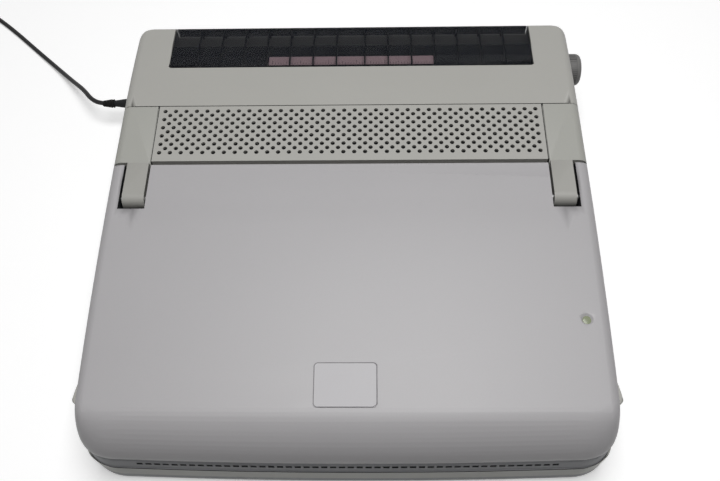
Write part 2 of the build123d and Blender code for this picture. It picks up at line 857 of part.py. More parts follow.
for groups, y in placed_groups:
    for x_start, widths in groups:
        for x in guide_places(x_start, x_start + sum(widths)):
            reach = guide_half + run_gap
            key_frame -= block(
                x - reach, x + reach, y - reach, y + reach, frame_plate_low - 1, frame_plate_high + 1
            )
save("key_frame", key_frame)
for index, groups in enumerate(row_groups):
    save(f"key_row_{index + 1}", *[key_group(x, row_y[index], widths) for x, widths in groups])
save("function_keys", *[key_group(x, function_y, widths, function_depth) for x, widths in function_groups])
save("space_bar", *[key_group(x, row_y[0], widths) for x, widths in space_group])

# ---------------------------------------------------------------- boards, drive and sockets
board_top = board_low + board_thick
board = block(-board_half_width, board_half_width, board_front, board_rear, board_low, board_top)
for x, y, width, depth, high in (
    (-110, 0.3, 36, 36, 4),
    (-50, 0.55, 28, 28, 4),
    (10, 0.35, 40, 16, 5),
    (10, 0.7, 40, 16, 5),
    (70, 0.5, 30, 30, 4),
    (125, 0.6, 20, 50, 7),
):
    middle = board_front + y * (board_rear - board_front)
    board += block(
        x - width / 2,
        x + width / 2,
        middle - depth / 2,
        middle + depth / 2,
        board_low + board_thick / 2,
        board_top + high,
    )
save("main_board", board)

power = block(-power_half_width, power_half_width, power_front, power_rear, board_low, board_top)
power_middle = (power_front + power_rear) / 2
power += block(-120, -70, power_middle - 18, power_middle + 18, board_low + 1, board_top + 30)
power += block(60, 64, power_front + 4, power_rear - 4, board_low + 1, board_top + 34)
for x in (-40, -14, 12):
    power += rod_z(10, x, power_middle, board_low + 1, board_top + 24)
save("power_board", power)

slot_wide = 88.0
slot_high = 5.0
slot_deep = 84.0
slot_z = drive_low + 10.0
drive_middle = (drive_front + drive_rear) / 2
drive_face = half - 0.6
button_length = 9.0
button_half_height = 2.2
button_y = drive_rear - 14.0
button_z = drive_low + 3.8
button_reach = 1.6
door_thick = 1.0
door_set_back = 1.5
drive = block(drive_back, drive_face, drive_front, drive_rear, drive_low, drive_high)
drive -= block(
    drive_face - slot_deep,
    drive_face + 1,
    drive_middle - slot_wide / 2 - 1,
    drive_middle + slot_wide / 2 + 1,
    slot_z,
    slot_z + slot_high,
)
drive -= block(
    drive_face - 8,
    drive_face + 1,
    button_y - button_length / 2 - run_gap,
    button_y + button_length / 2 + run_gap,
    button_z - button_half_height - run_gap,
    button_z + button_half_height + run_gap,
)
door_pin = 0.7
door_room = 2.2
door_axis_x = drive_face - door_set_back - door_thick / 2
door_axis_z = slot_z + slot_high + door_room - door_pin - run_gap
drive -= block(
    door_axis_x - slot_high - door_room - 1,
    drive_face + 1,
    drive_middle - slot_wide / 2 - 1,
    drive_middle + slot_wide / 2 + 1,
    slot_z,
    slot_z + slot_high + door_room,
)
pin_front = drive_middle - slot_wide / 2 - 3
pin_rear = drive_middle + slot_wide / 2 + 3
drive -= rod_y(door_pin + bore_gap, door_axis_x, pin_front, pin_rear, door_axis_z)
tray_top = slot_z + slot_high
drive_tray = drive & block(drive_back - 1, half, drive_front - 1, drive_rear + 1, drive_low - 1, tray_top)
drive_cover = drive - block(drive_back - 1, half, drive_front - 1, drive_rear + 1, drive_low - 1, tray_top)
save("floppy_drive", drive_tray, drive_cover)
door = block(
    door_axis_x - door_thick / 2,
    door_axis_x + door_thick / 2,
    drive_middle - slot_wide / 2,
    drive_middle + slot_wide / 2,
    slot_z + run_gap,
    door_axis_z,
)
door += rod_y(door_pin, door_axis_x, pin_front + run_gap, pin_rear - run_gap, door_axis_z)
save("floppy_door", door)
button = block(
    drive_face - 3.5,
    drive_face + button_reach - 0.4,
    button_y - button_length / 2,
    button_y + button_length / 2,
    button_z - button_half_height,
    button_z + button_half_height,
)
save("eject_button", button)

# Direct-current socket in the left wall, and the power slider with its switch on the right.
jack_depth = 15.0
jack_bore = 2.85
jack = block(
    -half + wall + fit, -half + wall + fit + jack_depth, jack_y - 7, jack_y + 7, jack_z - 7, jack_z + 7
)
jack += rod_x(jack_radius, -half, -half + wall + 1, jack_y, jack_z)
jack -= rod_x(jack_bore, -half - 1, -half + 11, jack_y, jack_z)
jack_foot = floor_top
jack += block(
    -half + wall + 3, -half + wall + jack_depth, jack_y - 7, jack_y + 7, jack_foot, jack_z - 6
)
save("dc_socket", jack)

switch_body = block(
    half - wall - 11, half - wall - fit, switch_y - 9, switch_y + 13, switch_z - 6, switch_z + 6
)
switch_body -= block(
    half - wall - 6,
    half - wall,
    switch_y - switch_length / 2 - run_gap,
    switch_y + switch_length / 2 + switch_travel + run_gap,
    switch_z - switch_half_height - run_gap,
    switch_z + switch_half_height + run_gap,
)
save("power_switch", switch_body)
slider = block(
    half - wall - 6 + run_gap,
    half + 1.2,
    switch_y - switch_length / 2,
    switch_y + switch_length / 2,
    switch_z - switch_half_height,
    switch_z + switch_half_height,
)
for offset in (-2, 0, 2):
    y = switch_y + offset
    slider -= block(half + 0.6, half + 2, y - 0.4, y + 0.4, switch_z - 3, switch_z + 3)
save("power_slider", slider)

# ---------------------------------------------------------------- printer mechanism
bush_radius = 5.0
bush_width = 4.0
rail_y = platen_y - 25.0
rail_z = 44.0
rail_radius = 3.0
gear_module = 0.8
platen_teeth = 30
idler_teeth = 20
pinion_teeth = 10
gear_width = 5.0
gear_x = -frame_half_width - frame_thick - 3.0 - gear_width
mesh_gap = 0.25
pinch_radius = 4.0
pinch_shaft = 1.5
paper_room = 0.3
pinch_z = platen_z - platen_radius - pinch_radius - paper_room
platen_half = 155.0


def gear_face(teeth):
    """Spur gear outline with straight-sided teeth and a little backlash."""
    pitch = gear_module * teeth / 2
    root = pitch - 1.15 * gear_module
    tip = pitch + 0.9 * gear_module
    points = []
    for tooth in range(teeth):
        middle = 360 * tooth / teeth
        for radius, share in ((root, -0.33), (tip, -0.11), (tip, 0.11), (root, 0.33)):
            angle = math.radians(middle + share * 360 / teeth)
            points.append((radius * math.cos(angle), radius * math.sin(angle)))
    return make_face(Polyline(*points, close=True))


def gear(teeth, y, z, turn, bore):
    """A gear lying across the machine; turn sets where its first tooth points."""
    face = Rot(0, 0, turn) * gear_face(teeth) - Circle(bore)
    return side_sweep(Pos(y, z) * face, gear_x, gear_x + gear_width)


def meshed_turn(turn, teeth, direction, next_teeth):
    """How far the next gear of a train is turned so that its teeth stand in this one's gaps."""
    ahead = (turn - direction) / (360 / teeth)
    return direction + 180 - (ahead + 0.5) * 360 / next_teeth


def along(distance, direction):
    angle = math.radians(direction)
    return distance * math.cos(angle), distance * math.sin(angle)


# Platen gear, idler and motor pinion run outside the left plate, one below the other.
idler_direction = -100.0
pinion_direction = -80.0
step_y, step_z = along(gear_module * (platen_teeth + idler_teeth) / 2 + mesh_gap, idler_direction)
idler_y = platen_y + step_y
idler_z = platen_z + step_z
step_y, step_z = along(gear_module * (idler_teeth + pinion_teeth) / 2 + mesh_gap, pinion_direction)
pinion_y = idler_y + step_y
pinion_z = idler_z + step_z
idler_turn = meshed_turn(0, platen_teeth, idler_direction, idler_teeth)
pinion_turn = meshed_turn(idler_turn, idler_teeth, pinion_direction, pinion_teeth)
stub_radius = 2.0
motor_radius = 12.0
motor_length = 24.0
motor_shaft = 1.5
belt_y = frame_front + 12.0
belt_low = 47.0
belt_high = 52.0
pulley_radius = 5.0
belt_thick = 1.2
pulley_x = 152.0
carriage_motor_radius = 12.0
carriage_motor_high = 40.0
bush_width = 4.0

# One folded steel frame: a floor, a plate at each end, and the shaft's bearings on the plates.
side_plate = make_face(
    Polyline(
        (frame_front, frame_low),
        (frame_rear, frame_low),
        (frame_rear, platen_z + 2),
        (frame_rear - 10, platen_z + 20),
        (platen_y - 11, platen_z + 20),
        (frame_front, rail_z + 12),
        close=True,
    )
)
frame_outer = frame_half_width + frame_thick
frame_floor = frame_low + frame_thick
printer_frame = block(-frame_outer, frame_outer, frame_front, frame_rear, frame_low, frame_floor)
printer_frame += rod_z(motor_shaft, -pulley_x, belt_y, frame_low + 1, belt_high + 2)
printer_frame += rod_z(motor_shaft + 1.5, -pulley_x, belt_y, frame_low + 1, belt_low - 1.3)
printer_frame += side_sweep(side_plate, -frame_outer, -frame_half_width)
printer_frame += side_sweep(side_plate, frame_half_width, frame_outer)
printer_frame += rod_x(bush_radius, frame_half_width, frame_half_width + bush_width, platen_y, platen_z)
printer_frame += rod_x(bush_radius, -frame_half_width - bush_width, -frame_half_width, platen_y, platen_z)
printer_frame += rod_x(stub_radius, gear_x - 0.5, -frame_half_width, idler_y, idler_z)
for radius, y, z in (
    (shaft_radius, platen_y, platen_z),
    (rail_radius, rail_y, rail_z),
    (pinch_shaft, platen_y, pinch_z),
):
    printer_frame -= rod_x(radius + bore_gap, -frame_outer - bush_width, frame_outer + bush_width, y, z)
printer_frame -= rod_x(motor_shaft + run_gap, -frame_outer - 1, -frame_half_width + 1, pinion_y, pinion_z)
save("printer_frame", printer_frame)

shaft = rod_x(shaft_radius, gear_x - 1, half + knob_reach - 4, platen_y, platen_z)
save("platen_shaft", shaft)
roller = rod_x(platen_radius, -platen_half, platen_half, platen_y, platen_z)
save("platen_roller", roller - rod_x(shaft_radius, -platen_half - 1, platen_half + 1, platen_y, platen_z))
save("platen_gear", gear(platen_teeth, platen_y, platen_z, 0, shaft_radius))

knob_start = half + 0.6
knob = rod_x(knob_radius, knob_start, half + knob_reach, platen_y, platen_z)
knob = chamfer(knob.edges().group_by(Axis.X)[-1], 3.0)
knob_ribs = 24
for index in range(knob_ribs):
    groove = Pos(knob_start, platen_y, platen_z) * Rot(360 * index / knob_ribs, 0, 0)
    knob -= groove * Pos(5.0, knob_radius, 0) * Box(12, 1.4, 1.4)
knob -= rod_x(shaft_radius, knob_start - 1, half + knob_reach - 4, platen_y, platen_z)
save("feed_knob", knob)

save("feed_idler", gear(idler_teeth, idler_y, idler_z, idler_turn, stub_radius + bore_gap))
motor_end = -frame_half_width + fit + motor_length
feed_motor = rod_x(motor_radius, -frame_half_width + fit, motor_end, pinion_y, pinion_z)
feed_motor -= rod_x(motor_shaft + bore_gap, -frame_half_width, motor_end - 4, pinion_y, pinion_z)
save("feed_motor", feed_motor)
pinion = gear(pinion_teeth, pinion_y, pinion_z, pinion_turn, motor_shaft - 0.5)
pinion += rod_x(motor_shaft, gear_x - 1, motor_end - 4 - fit, pinion_y, pinion_z)
save("feed_pinion", pinion)

pinch = rod_x(pinch_shaft, -frame_outer - 0.5, frame_outer + 0.5, platen_y, pinch_z)
pinch_places = (-105.0, -35.0, 35.0, 105.0)
pinch_width = 12.0
for x in pinch_places:
    pinch += rod_x(pinch_radius, x - pinch_width / 2, x + pinch_width / 2, platen_y, pinch_z)
save("pinch_rollers", pinch)

# Paper guide: a trough round the platen, open to the rollers under it, with a lip for the sheet.
guide_inner = platen_radius + 1.5
guide_thick = 1.2
guide_reach = frame_half_width - fit
guide_outline = Pos(platen_y, platen_z) * (Circle(guide_inner + guide_thick) - Circle(guide_inner))
guide_outline -= Pos(platen_y, platen_z) * Pos(0, 20) * Rectangle(60, 40)
guide_outline -= Pos(platen_y - 20, platen_z - 3) * Rectangle(40, 10)
lip_start = platen_y + guide_inner
guide_outline += make_face(
    Polyline(
        (lip_start, platen_z - 0.5),
        (lip_start + guide_thick, platen_z - 0.5),
        (lip_start + 5 + guide_thick, platen_z + 18),
        (lip_start + 5, platen_z + 18),
        close=True,
    )
)
guide = side_sweep(guide_outline, -guide_reach, guide_reach)
for x in pinch_places:
    reach = pinch_width / 2 + 1.5
    guide -= block(x - reach, x + reach, platen_y - 7, platen_y + 7, pinch_z - 8, platen_z - 2)
save("paper_guide", guide)

# Scale bar across the front of the platen with the pale paper scale on it.
bar_low = platen_z + 15.0
bar_thick = 2.0
bar_front = platen_y - 7.5
bar_rear = platen_y + 4.0
scale_half = 74.5
scale_thick = 0.6
bar_high = bar_low + bar_thick
save("scale_bar", block(-guide_reach, guide_reach, bar_front, bar_rear, bar_low, bar_high))
strip = block(-scale_half, scale_half, bar_front + 1, bar_rear - 1, bar_high, bar_high + scale_thick)
save("paper_scale", strip)
save("carriage_rail", rod_x(rail_radius, -frame_outer, frame_outer, rail_y, rail_z))

# Carriage with its print head and ribbon cassette, parked at the right.
carriage_x = 143.0
carriage_half = 17.0
head_gap = 0.6
carriage = block(
    carriage_x - carriage_half, carriage_x + carriage_half, rail_y - 6, rail_y + 10, rail_z - 6, rail_z + 14
)
carriage -= rod_x(
    rail_radius + bore_gap, carriage_x - carriage_half - 1, carriage_x + carriage_half + 1, rail_y, rail_z
)
clamp_front = belt_y + pulley_radius + belt_thick + run_gap
carriage += block(carriage_x - 6, carriage_x + 6, clamp_front, rail_y - 5, belt_low, belt_high)
save("carriage", carriage)
head_rear = platen_y - platen_radius - head_gap
head = block(carriage_x - 8, carriage_x + 8, rail_y + 10, head_rear, platen_z - 9, platen_z + 5)
head += block(carriage_x - 8, carriage_x + 8, rail_y + 10, rail_y + 12, rail_z, platen_z)
save("print_head", head)
cassette = block(
    carriage_x - carriage_half,
    carriage_x + carriage_half,
    rail_y - 10,
    rail_y + 13,
    rail_z + 14,
    platen_z + 9,
)
cassette -= block(carriage_x - 9, carriage_x + 9, rail_y + 9, rail_y + 18, rail_z + 13, platen_z + 10)
save("ribbon_cassette", fillet(cassette.edges().filter_by(Axis.Z), 1.2))

carriage_motor = rod_z(carriage_motor_radius, pulley_x, belt_y, frame_floor, carriage_motor_high)
carriage_motor -= rod_z(motor_shaft + bore_gap, pulley_x, belt_y, frame_low + 4, belt_high)
save("carriage_motor", carriage_motor)


def pulley(x):
    wheel = rod_z(pulley_radius, x, belt_y, belt_low - 0.3, belt_high + 0.3)
    return wheel + rod_z(pulley_radius + 1.6, x, belt_y, belt_low - 1.0, belt_low - 0.3)


pulley_shaft = rod_z(motor_shaft, pulley_x, belt_y, frame_low + 5, belt_high + 2)
save("drive_pulley", pulley(pulley_x) + pulley_shaft)
bore = rod_z(motor_shaft + bore_gap, -pulley_x, belt_y, belt_low - 2, belt_high + 2)
save("idle_pulley", pulley(-pulley_x) - bore)
belt_inner = pulley_radius + fit
belt_outer = belt_inner + belt_thick
belt_face = SlotCenterToCenter(2 * pulley_x, 2 * belt_outer)
belt_face -= SlotCenterToCenter(2 * pulley_x, 2 * belt_inner)
save("carriage_belt", Pos(0, belt_y, belt_low) * extrude(belt_face, amount=belt_high - belt_low))

# ---------------------------------------------------------------- lead from the socket to its adapter
plug_radius = 2.75
plug_grip_radius = 4.8
plug_grip_end = 33.0
relief_end = 38.0
cable_radius = 2.2
plug = rod_x(plug_radius, -half - 0.6, -half + 9, jack_y, jack_z)
grip_face = Polyline(
    (0, half + 0.6),
    (plug_grip_radius - 1, half + 0.6),
    (plug_grip_radius, half + 1.6),
    (plug_grip_radius, half + plug_grip_end - 10),
    (cable_radius + 1.2, half + plug_grip_end),
    (cable_radius + 0.6, half + relief_end),
    (0, half + relief_end),
    close=True,
)
grip = revolve(make_face(grip_face), Axis.Y)
plug += Pos(0, jack_y, jack_z) * Rot(0, 0, 90) * grip
save("dc_plug", plug)

# The route is chosen by hand: out of the socket, down to the table and away to the rear left.
cable_route = [
    (-half - relief_end, jack_y, jack_z),
    (-half - relief_end - 12.0, jack_y, jack_z),
    (-256.0, 165.5, 23.0),
    (-267.0, 180.0, 20.5),
    (-283.0, 197.0, 12.5),
    (-304.0, 219.5, 4.4),
    (-332.0, 246.0, cable_radius),
    (-365.0, 277.0, cable_radius),
    (-391.0, 298.5, cable_radius),
    (-408.0, 310.5, cable_radius),
]


def tube_path(points):
    """Straight runs joined by tangent arcs, each as large as its two runs allow."""
    places = [Vector(*point) for point in points]
    runs = [b - a for a, b in zip(places, places[1:])]
    radii = []
    for before, after in zip(runs, runs[1:]):
        turn = math.radians(before.get_angle(after))
        radii.append(0.45 * min(before.length, after.length) / math.tan(turn / 2))
    return FilletPolyline(*points, radius=radii), radii


def tube(points, radius):
    path, radii = tube_path(points)
    solid = sweep(Plane(path @ 0, z_dir=path % 0) * Circle(radius), path=path)
    share = solid.volume / (math.pi * radius**2 * path.length)
    print("cord radii", [round(value) for value in radii], "length", round(path.length))
    print("cord volume over section times length", round(share, 4))
    return solid


save("dc_cable", tube(cable_route, cable_radius))

# The rest of the lead is put away as one tied coil beside the last run.
coil_radius = 22.6
coil_columns = 3
coil_layers = 4
coil_lead_in = 18.0
coil_low = 0.0
last_run = Vector(*cable_route[-1]) - Vector(*cable_route[-2])
heading = math.degrees(math.atan2(last_run.Y, last_run.X))
outer_turn = coil_radius + (coil_columns - 1) * cable_radius
step_x, step_y = along(coil_lead_in, heading)
touch_x = cable_route[-1][0] + step_x
touch_y = cable_route[-1][1] + step_y
step_x, step_y = along(outer_turn, heading + 90)
coil_x = touch_x + step_x
coil_y = touch_y + step_y
leaving = 270 + 18.0
step_x, step_y = along(outer_turn, leaving - 90)
leave_x = coil_x + step_x
leave_y = coil_y + step_y
coil_high = 2 * coil_layers * cable_radius
coil_half = coil_columns * cable_radius
ring = Rectangle(2 * coil_half, coil_high)
ring = chamfer(ring.vertices(), 0.6 * cable_radius)
ring = revolve(Plane.XZ * Pos(coil_radius, coil_high / 2) * ring, Axis.Z)
coil = Pos(coil_x, coil_y, coil_low) * ring
lead_in = rod_x(cable_radius, -coil_lead_in, 0, 0, 0)
lead_in = Pos(touch_x, touch_y, cable_radius) * Rot(0, 0, heading) * lead_in
lead_out_z = coil_high - cable_radius
lead_out = rod_x(cable_radius, 0, coil_lead_in, 0, 0)
lead_out = Pos(leave_x, leave_y, lead_out_z) * Rot(0, 0, leaving) * lead_out
save("cable_coil", coil + lead_in + lead_out)

# Wall adapter with two flat blades, lying beside the coil.
adapter_length = 62.0
adapter_width = 44.0
adapter_height = 30.0
adapter_relief = 20.0
blade_reach = 16.0
start = coil_lead_in + adapter_relief
adapter = Box(adapter_length, adapter_width, adapter_height)
adapter = Pos(start + adapter_length / 2, 0, adapter_height / 2) * adapter
adapter = chamfer(adapter.edges(), 2.5)
relief_face = Polyline(
    (0, -start - 1),
    (cable_radius + 1.6, -start - 1),
    (cable_radius + 0.6, -coil_lead_in),
    (0, -coil_lead_in),
    close=True,
)
adapter += Pos(0, 0, lead_out_z) * Rot(0, 0, 90) * revolve(make_face(relief_face), Axis.Y)
for y in (-6.35, 6.35):
    blade = Pos(start + adapter_length + blade_reach / 2 - 1, y, adapter_height / 2)
    adapter += blade * Box(blade_reach + 2, 1.5, 6.3)
save("wall_adapter", Pos(leave_x, leave_y, 0) * Rot(0, 0, leaving) * adapter)
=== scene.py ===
import json
import math

import bmesh
import bpy
from mathutils import Matrix, Vector


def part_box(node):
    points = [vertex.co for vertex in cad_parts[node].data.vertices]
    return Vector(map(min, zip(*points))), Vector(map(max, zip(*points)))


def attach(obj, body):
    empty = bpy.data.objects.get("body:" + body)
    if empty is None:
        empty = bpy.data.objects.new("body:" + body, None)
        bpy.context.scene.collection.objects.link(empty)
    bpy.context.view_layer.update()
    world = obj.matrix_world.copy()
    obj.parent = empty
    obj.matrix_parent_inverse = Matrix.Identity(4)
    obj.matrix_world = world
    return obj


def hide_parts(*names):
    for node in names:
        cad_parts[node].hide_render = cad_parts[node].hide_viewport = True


MM = 0.001
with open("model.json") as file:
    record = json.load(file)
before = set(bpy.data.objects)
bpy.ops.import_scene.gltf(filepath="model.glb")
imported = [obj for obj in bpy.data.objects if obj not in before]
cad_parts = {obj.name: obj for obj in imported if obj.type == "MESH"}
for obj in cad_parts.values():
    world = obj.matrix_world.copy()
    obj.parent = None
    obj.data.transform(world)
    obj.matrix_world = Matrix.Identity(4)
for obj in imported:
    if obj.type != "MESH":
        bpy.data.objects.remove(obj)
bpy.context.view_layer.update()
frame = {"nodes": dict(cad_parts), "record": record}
nodes = frame["nodes"]


def link(obj):
    bpy.context.scene.collection.objects.link(obj)
    return obj


# ---------------------------------------------------------------- view, light and floor
SIDE_SHIFT = -5.5
LENS = 40.0
CAMERA_PLACE = Vector((18.264, -334.212, 633.81)) * MM
CAMERA_TURN = (2.646, 29.168, -2.539)


def place_camera():
    camera = link(bpy.data.objects.new("camera", bpy.data.cameras.new("camera")))
    camera.data.lens = LENS
    camera.data.clip_start = 0.01
    yaw, tilt, roll = (math.radians(angle) for angle in CAMERA_TURN)
    turn = Matrix.Rotation(yaw, 4, "Z") @ Matrix.Rotation(tilt, 4, "X") @ Matrix.Rotation(roll, 4, "Z")
    camera.matrix_world = Matrix.Translation(CAMERA_PLACE) @ turn
    bpy.context.scene.camera = camera


def softbox(name, place, target, width, depth, power):
    lamp = bpy.data.lights.new(name, "AREA")
    lamp.shape = "RECTANGLE"
    lamp.size = width
    lamp.size_y = depth
    lamp.energy = power
    box = link(bpy.data.objects.new(name, lamp))
    toward = Vector(target) - Vector(place)
    box.matrix_world = Matrix.Translation(place) @ toward.to_track_quat("-Z", "Y").to_matrix().to_4x4()


def seen_directly(tree):
    """One where a ray comes straight from the eye, off metal or through glass."""
    path = tree.nodes.new("ShaderNodeLightPath")
    straight = tree.nodes.new("ShaderNodeMath")
    straight.operation = "MAXIMUM"
    either = tree.nodes.new("ShaderNodeMath")
    either.operation = "MAXIMUM"
    tree.links.new(path.outputs["Is Camera Ray"], straight.inputs[0])
    tree.links.new(path.outputs["Is Glossy Ray"], straight.inputs[1])
    tree.links.new(straight.outputs[0], either.inputs[0])
    tree.links.new(path.outputs["Is Transmission Ray"], either.inputs[1])
    return either.outputs[0]


def light_room(strength):
    world = bpy.data.worlds.new("room")
    bpy.context.scene.world = world
    world.use_nodes = True
    tree = world.node_tree
    tree.nodes.clear()
    level = tree.nodes.new("ShaderNodeMapRange")
    level.inputs["To Min"].default_value = strength
    level.inputs["To Max"].default_value = 1.0
    tree.links.new(seen_directly(tree), level.inputs["Value"])
    sky = tree.nodes.new("ShaderNodeBackground")
    sky.inputs["Color"].default_value = (1, 1, 1, 1)
    tree.links.new(level.outputs["Result"], sky.inputs["Strength"])
    end = tree.nodes.new("ShaderNodeOutputWorld")
    tree.links.new(sky.outputs[0], end.inputs["Surface"])


def lay_floor(half_size, seen_shade, bounced_shade, lift):
    """A matt pale floor that takes shadows; it throws less light back than the eye sees on it."""
    bm = bmesh.new()
    bmesh.ops.create_grid(bm, x_segments=1, y_segments=1, size=half_size)
    mesh = bpy.data.meshes.new("floor")
    bm.to_mesh(mesh)
    bm.free()
    floor = link(bpy.data.objects.new("floor", mesh))
    material = bpy.data.materials.new("floor")
    material.use_nodes = True
    tree = material.node_tree
    shader = tree.nodes["Principled BSDF"]
    tone = tree.nodes.new("ShaderNodeMixRGB")
    tone.inputs["Color1"].default_value = (bounced_shade, bounced_shade, bounced_shade, 1)
    tone.inputs["Color2"].default_value = (seen_shade, seen_shade, seen_shade, 1)
    tree.links.new(seen_directly(tree), tone.inputs["Fac"])
    tree.links.new(tone.outputs[0], shader.inputs["Base Color"])
    shader.inputs["Roughness"].default_value = 0.9
    shader.inputs["Specular IOR Level"].default_value = 0.1
    glow = tree.nodes.new("ShaderNodeMixRGB")
    glow.inputs["Color1"].default_value = (0, 0, 0, 1)
    glow.inputs["Color2"].default_value = (lift, lift, lift, 1)
    tree.links.new(seen_directly(tree), glow.inputs["Fac"])
    tree.links.new(glow.outputs[0], shader.inputs["Emission Color"])
    shader.inputs["Emission Strength"].default_value = 1.0
    mesh.materials.append(material)


bpy.context.scene.view_settings.view_transform = "Standard"
place_camera()
light_room(strength=0.045)
softbox("overhead", place=(0.08, 0.0, 1.6), target=(0.0, 0.0, 0.0), width=1.2, depth=0.8, power=20.2)
lay_floor(half_size=4.0, seen_shade=0.95, bounced_shade=0.12, lift=0.33)


# ---------------------------------------------------------------- shader helpers
def float_socket(name, value):
    return (name, "NodeSocketFloat", value)


def colour_socket(name, value):
    return (name, "NodeSocketColor", value)


def new_group(name, inputs, outputs):
    """A shader node group with named sockets: returns the tree and its two end nodes."""
    tree = bpy.data.node_groups.new(name, "ShaderNodeTree")
    for title, kind, value in inputs:
        socket = tree.interface.new_socket(title, in_out="INPUT", socket_type=kind)
        socket.default_value = value
    for title, kind in outputs:
        tree.interface.new_socket(title, in_out="OUTPUT", socket_type=kind)
    return tree, tree.nodes.new("NodeGroupInput"), tree.nodes.new("NodeGroupOutput")


def math_node(tree, operation, first, second):
    node = tree.nodes.new("ShaderNodeMath")
    node.operation = operation
    for slot, value in zip(node.inputs, (first, second)):
        if isinstance(value, (int, float)):
            slot.default_value = value
        else:
            tree.links.new(value, slot)
    return node.outputs[0]


def noise(tree, place, scale, detail, roughness):
    node = tree.nodes.new("ShaderNodeTexNoise")
    node.inputs["Detail"].default_value = detail
    node.inputs["Roughness"].default_value = roughness
    tree.links.new(place, node.inputs["Vector"])
    if isinstance(scale, (int, float)):
        node.inputs["Scale"].default_value = scale
    else:
        tree.links.new(scale, node.inputs["Scale"])
    return node.outputs["Fac"]


def mix_colour(tree, share, first, second, blend="MIX"):
    node = tree.nodes.new("ShaderNodeMix")
    node.data_type = "RGBA"
    node.blend_type = blend
    for slot, value in ((node.inputs[0], share), (node.inputs[6], first), (node.inputs[7], second)):
        if isinstance(value, (int, float, tuple)):
            slot.default_value = value
        else:
            tree.links.new(value, slot)
    return node.outputs[2]


def swing(tree, value, amount):
    """A value between nought and one, made to swing about nought by an amount."""
    return math_node(tree, "MULTIPLY", math_node(tree, "SUBTRACT", value, 0.5), amount)


def build_moulded_surface():
    """Spark-eroded grain of a moulded casing, with slight clouding and dust lying on level faces."""
    tree, start, end = new_group(
        "moulded_surface",
        [
            colour_socket("Colour", (0.4, 0.4, 0.4, 1)),
            float_socket("Grain", 900.0),
            float_socket("Clouding", 0.05),
            float_socket("Dust", 0.05),
            float_socket("Gloss", 0.45),
        ],
        [("Colour", "NodeSocketColor"), ("Roughness", "NodeSocketFloat"), ("Height", "NodeSocketFloat")],
    )
    place = tree.nodes.new("ShaderNodeTexCoord").outputs["Object"]
    grain = noise(tree, place, start.outputs["Grain"], detail=2.0, roughness=0.6)
    cloud = noise(tree, place, scale=14.0, detail=4.0, roughness=0.55)
    fleck = noise(tree, place, scale=160.0, detail=2.0, roughness=0.7)
    shade = swing(tree, cloud, start.outputs["Clouding"])
    speck = swing(tree, grain, start.outputs["Clouding"])
    level = math_node(tree, "ADD", math_node(tree, "ADD", shade, 1.0), speck)
    toned = mix_colour(tree, 1.0, start.outputs["Colour"], level, "MULTIPLY")
    normal = tree.nodes.new("ShaderNodeSeparateXYZ")
    tree.links.new(tree.nodes.new("ShaderNodeNewGeometry").outputs["Normal"], normal.inputs[0])
    settled = math_node(tree, "MULTIPLY", math_node(tree, "MAXIMUM", normal.outputs["Z"], 0.0), fleck)
    dust = math_node(tree, "MULTIPLY", settled, start.outputs["Dust"])
    dusty = mix_colour(tree, dust, toned, (0.62, 0.6, 0.56, 1))
    tree.links.new(dusty, end.inputs["Colour"])
    rough = math_node(tree, "ADD", start.outputs["Gloss"], math_node(tree, "MULTIPLY", shade, 1.5))
    tree.links.new(math_node(tree, "ADD", rough, dust), end.inputs["Roughness"])
    tree.links.new(grain, end.inputs["Height"])
    return tree


def build_brushed_metal():
    """Fine scratches along X on rolled or ground steel."""
    tree, start, end = new_group(
        "brushed_metal",
        [colour_socket("Colour", (0.5, 0.5, 0.5, 1)), float_socket("Streaks", 400.0)],
        [("Colour", "NodeSocketColor"), ("Roughness", "NodeSocketFloat"), ("Height", "NodeSocketFloat")],
    )
    place = tree.nodes.new("ShaderNodeTexCoord").outputs["Object"]
    stretch = tree.nodes.new("ShaderNodeMapping")
    stretch.inputs["Scale"].default_value = (0.04, 1.0, 1.0)
    tree.links.new(place, stretch.inputs["Vector"])
    streak = noise(tree, stretch.outputs[0], start.outputs["Streaks"], detail=3.0, roughness=0.6)
    stain = noise(tree, place, scale=30.0, detail=3.0, roughness=0.5)
    tone = math_node(tree, "ADD", math_node(tree, "MULTIPLY", streak, 0.25), 0.85)
    toned = mix_colour(tree, 1.0, start.outputs["Colour"], tone, "MULTIPLY")
    tree.links.new(toned, end.inputs["Colour"])
    rough = math_node(tree, "ADD", math_node(tree, "MULTIPLY", stain, 0.2), 0.22)
    tree.links.new(rough, end.inputs["Roughness"])
    tree.links.new(streak, end.inputs["Height"])
    return tree


moulded_surface = build_moulded_surface()
brushed_metal = build_brushed_metal()


def new_material(name):
    material = bpy.data.materials.new(name)
    material.use_nodes = True
    tree = material.node_tree
    return material, tree, tree.nodes["Principled BSDF"]


def add_group(tree, group, values):
    node = tree.nodes.new("ShaderNodeGroup")
    node.node_tree = group
    for title, value in values.items():
        node.inputs[title].default_value = value
    return node


def add_bump(tree, shader, height, distance):
    bump = tree.nodes.new("ShaderNodeBump")
    bump.inputs["Distance"].default_value = distance
    bump.inputs["Strength"].default_value = 1.0
    tree.links.new(height, bump.inputs["Height"])
    tree.links.new(bump.outputs[0], shader.inputs["Normal"])


def tint(r, g, b):
    """A colour given by its everyday 0-255 values, as the shader's own linear ones."""

    def linear(value):
        share = value / 255
        return share / 12.92 if share <= 0.04045 else ((share + 0.055) / 1.055) ** 2.4

    return (linear(r), linear(g), linear(b), 1.0)


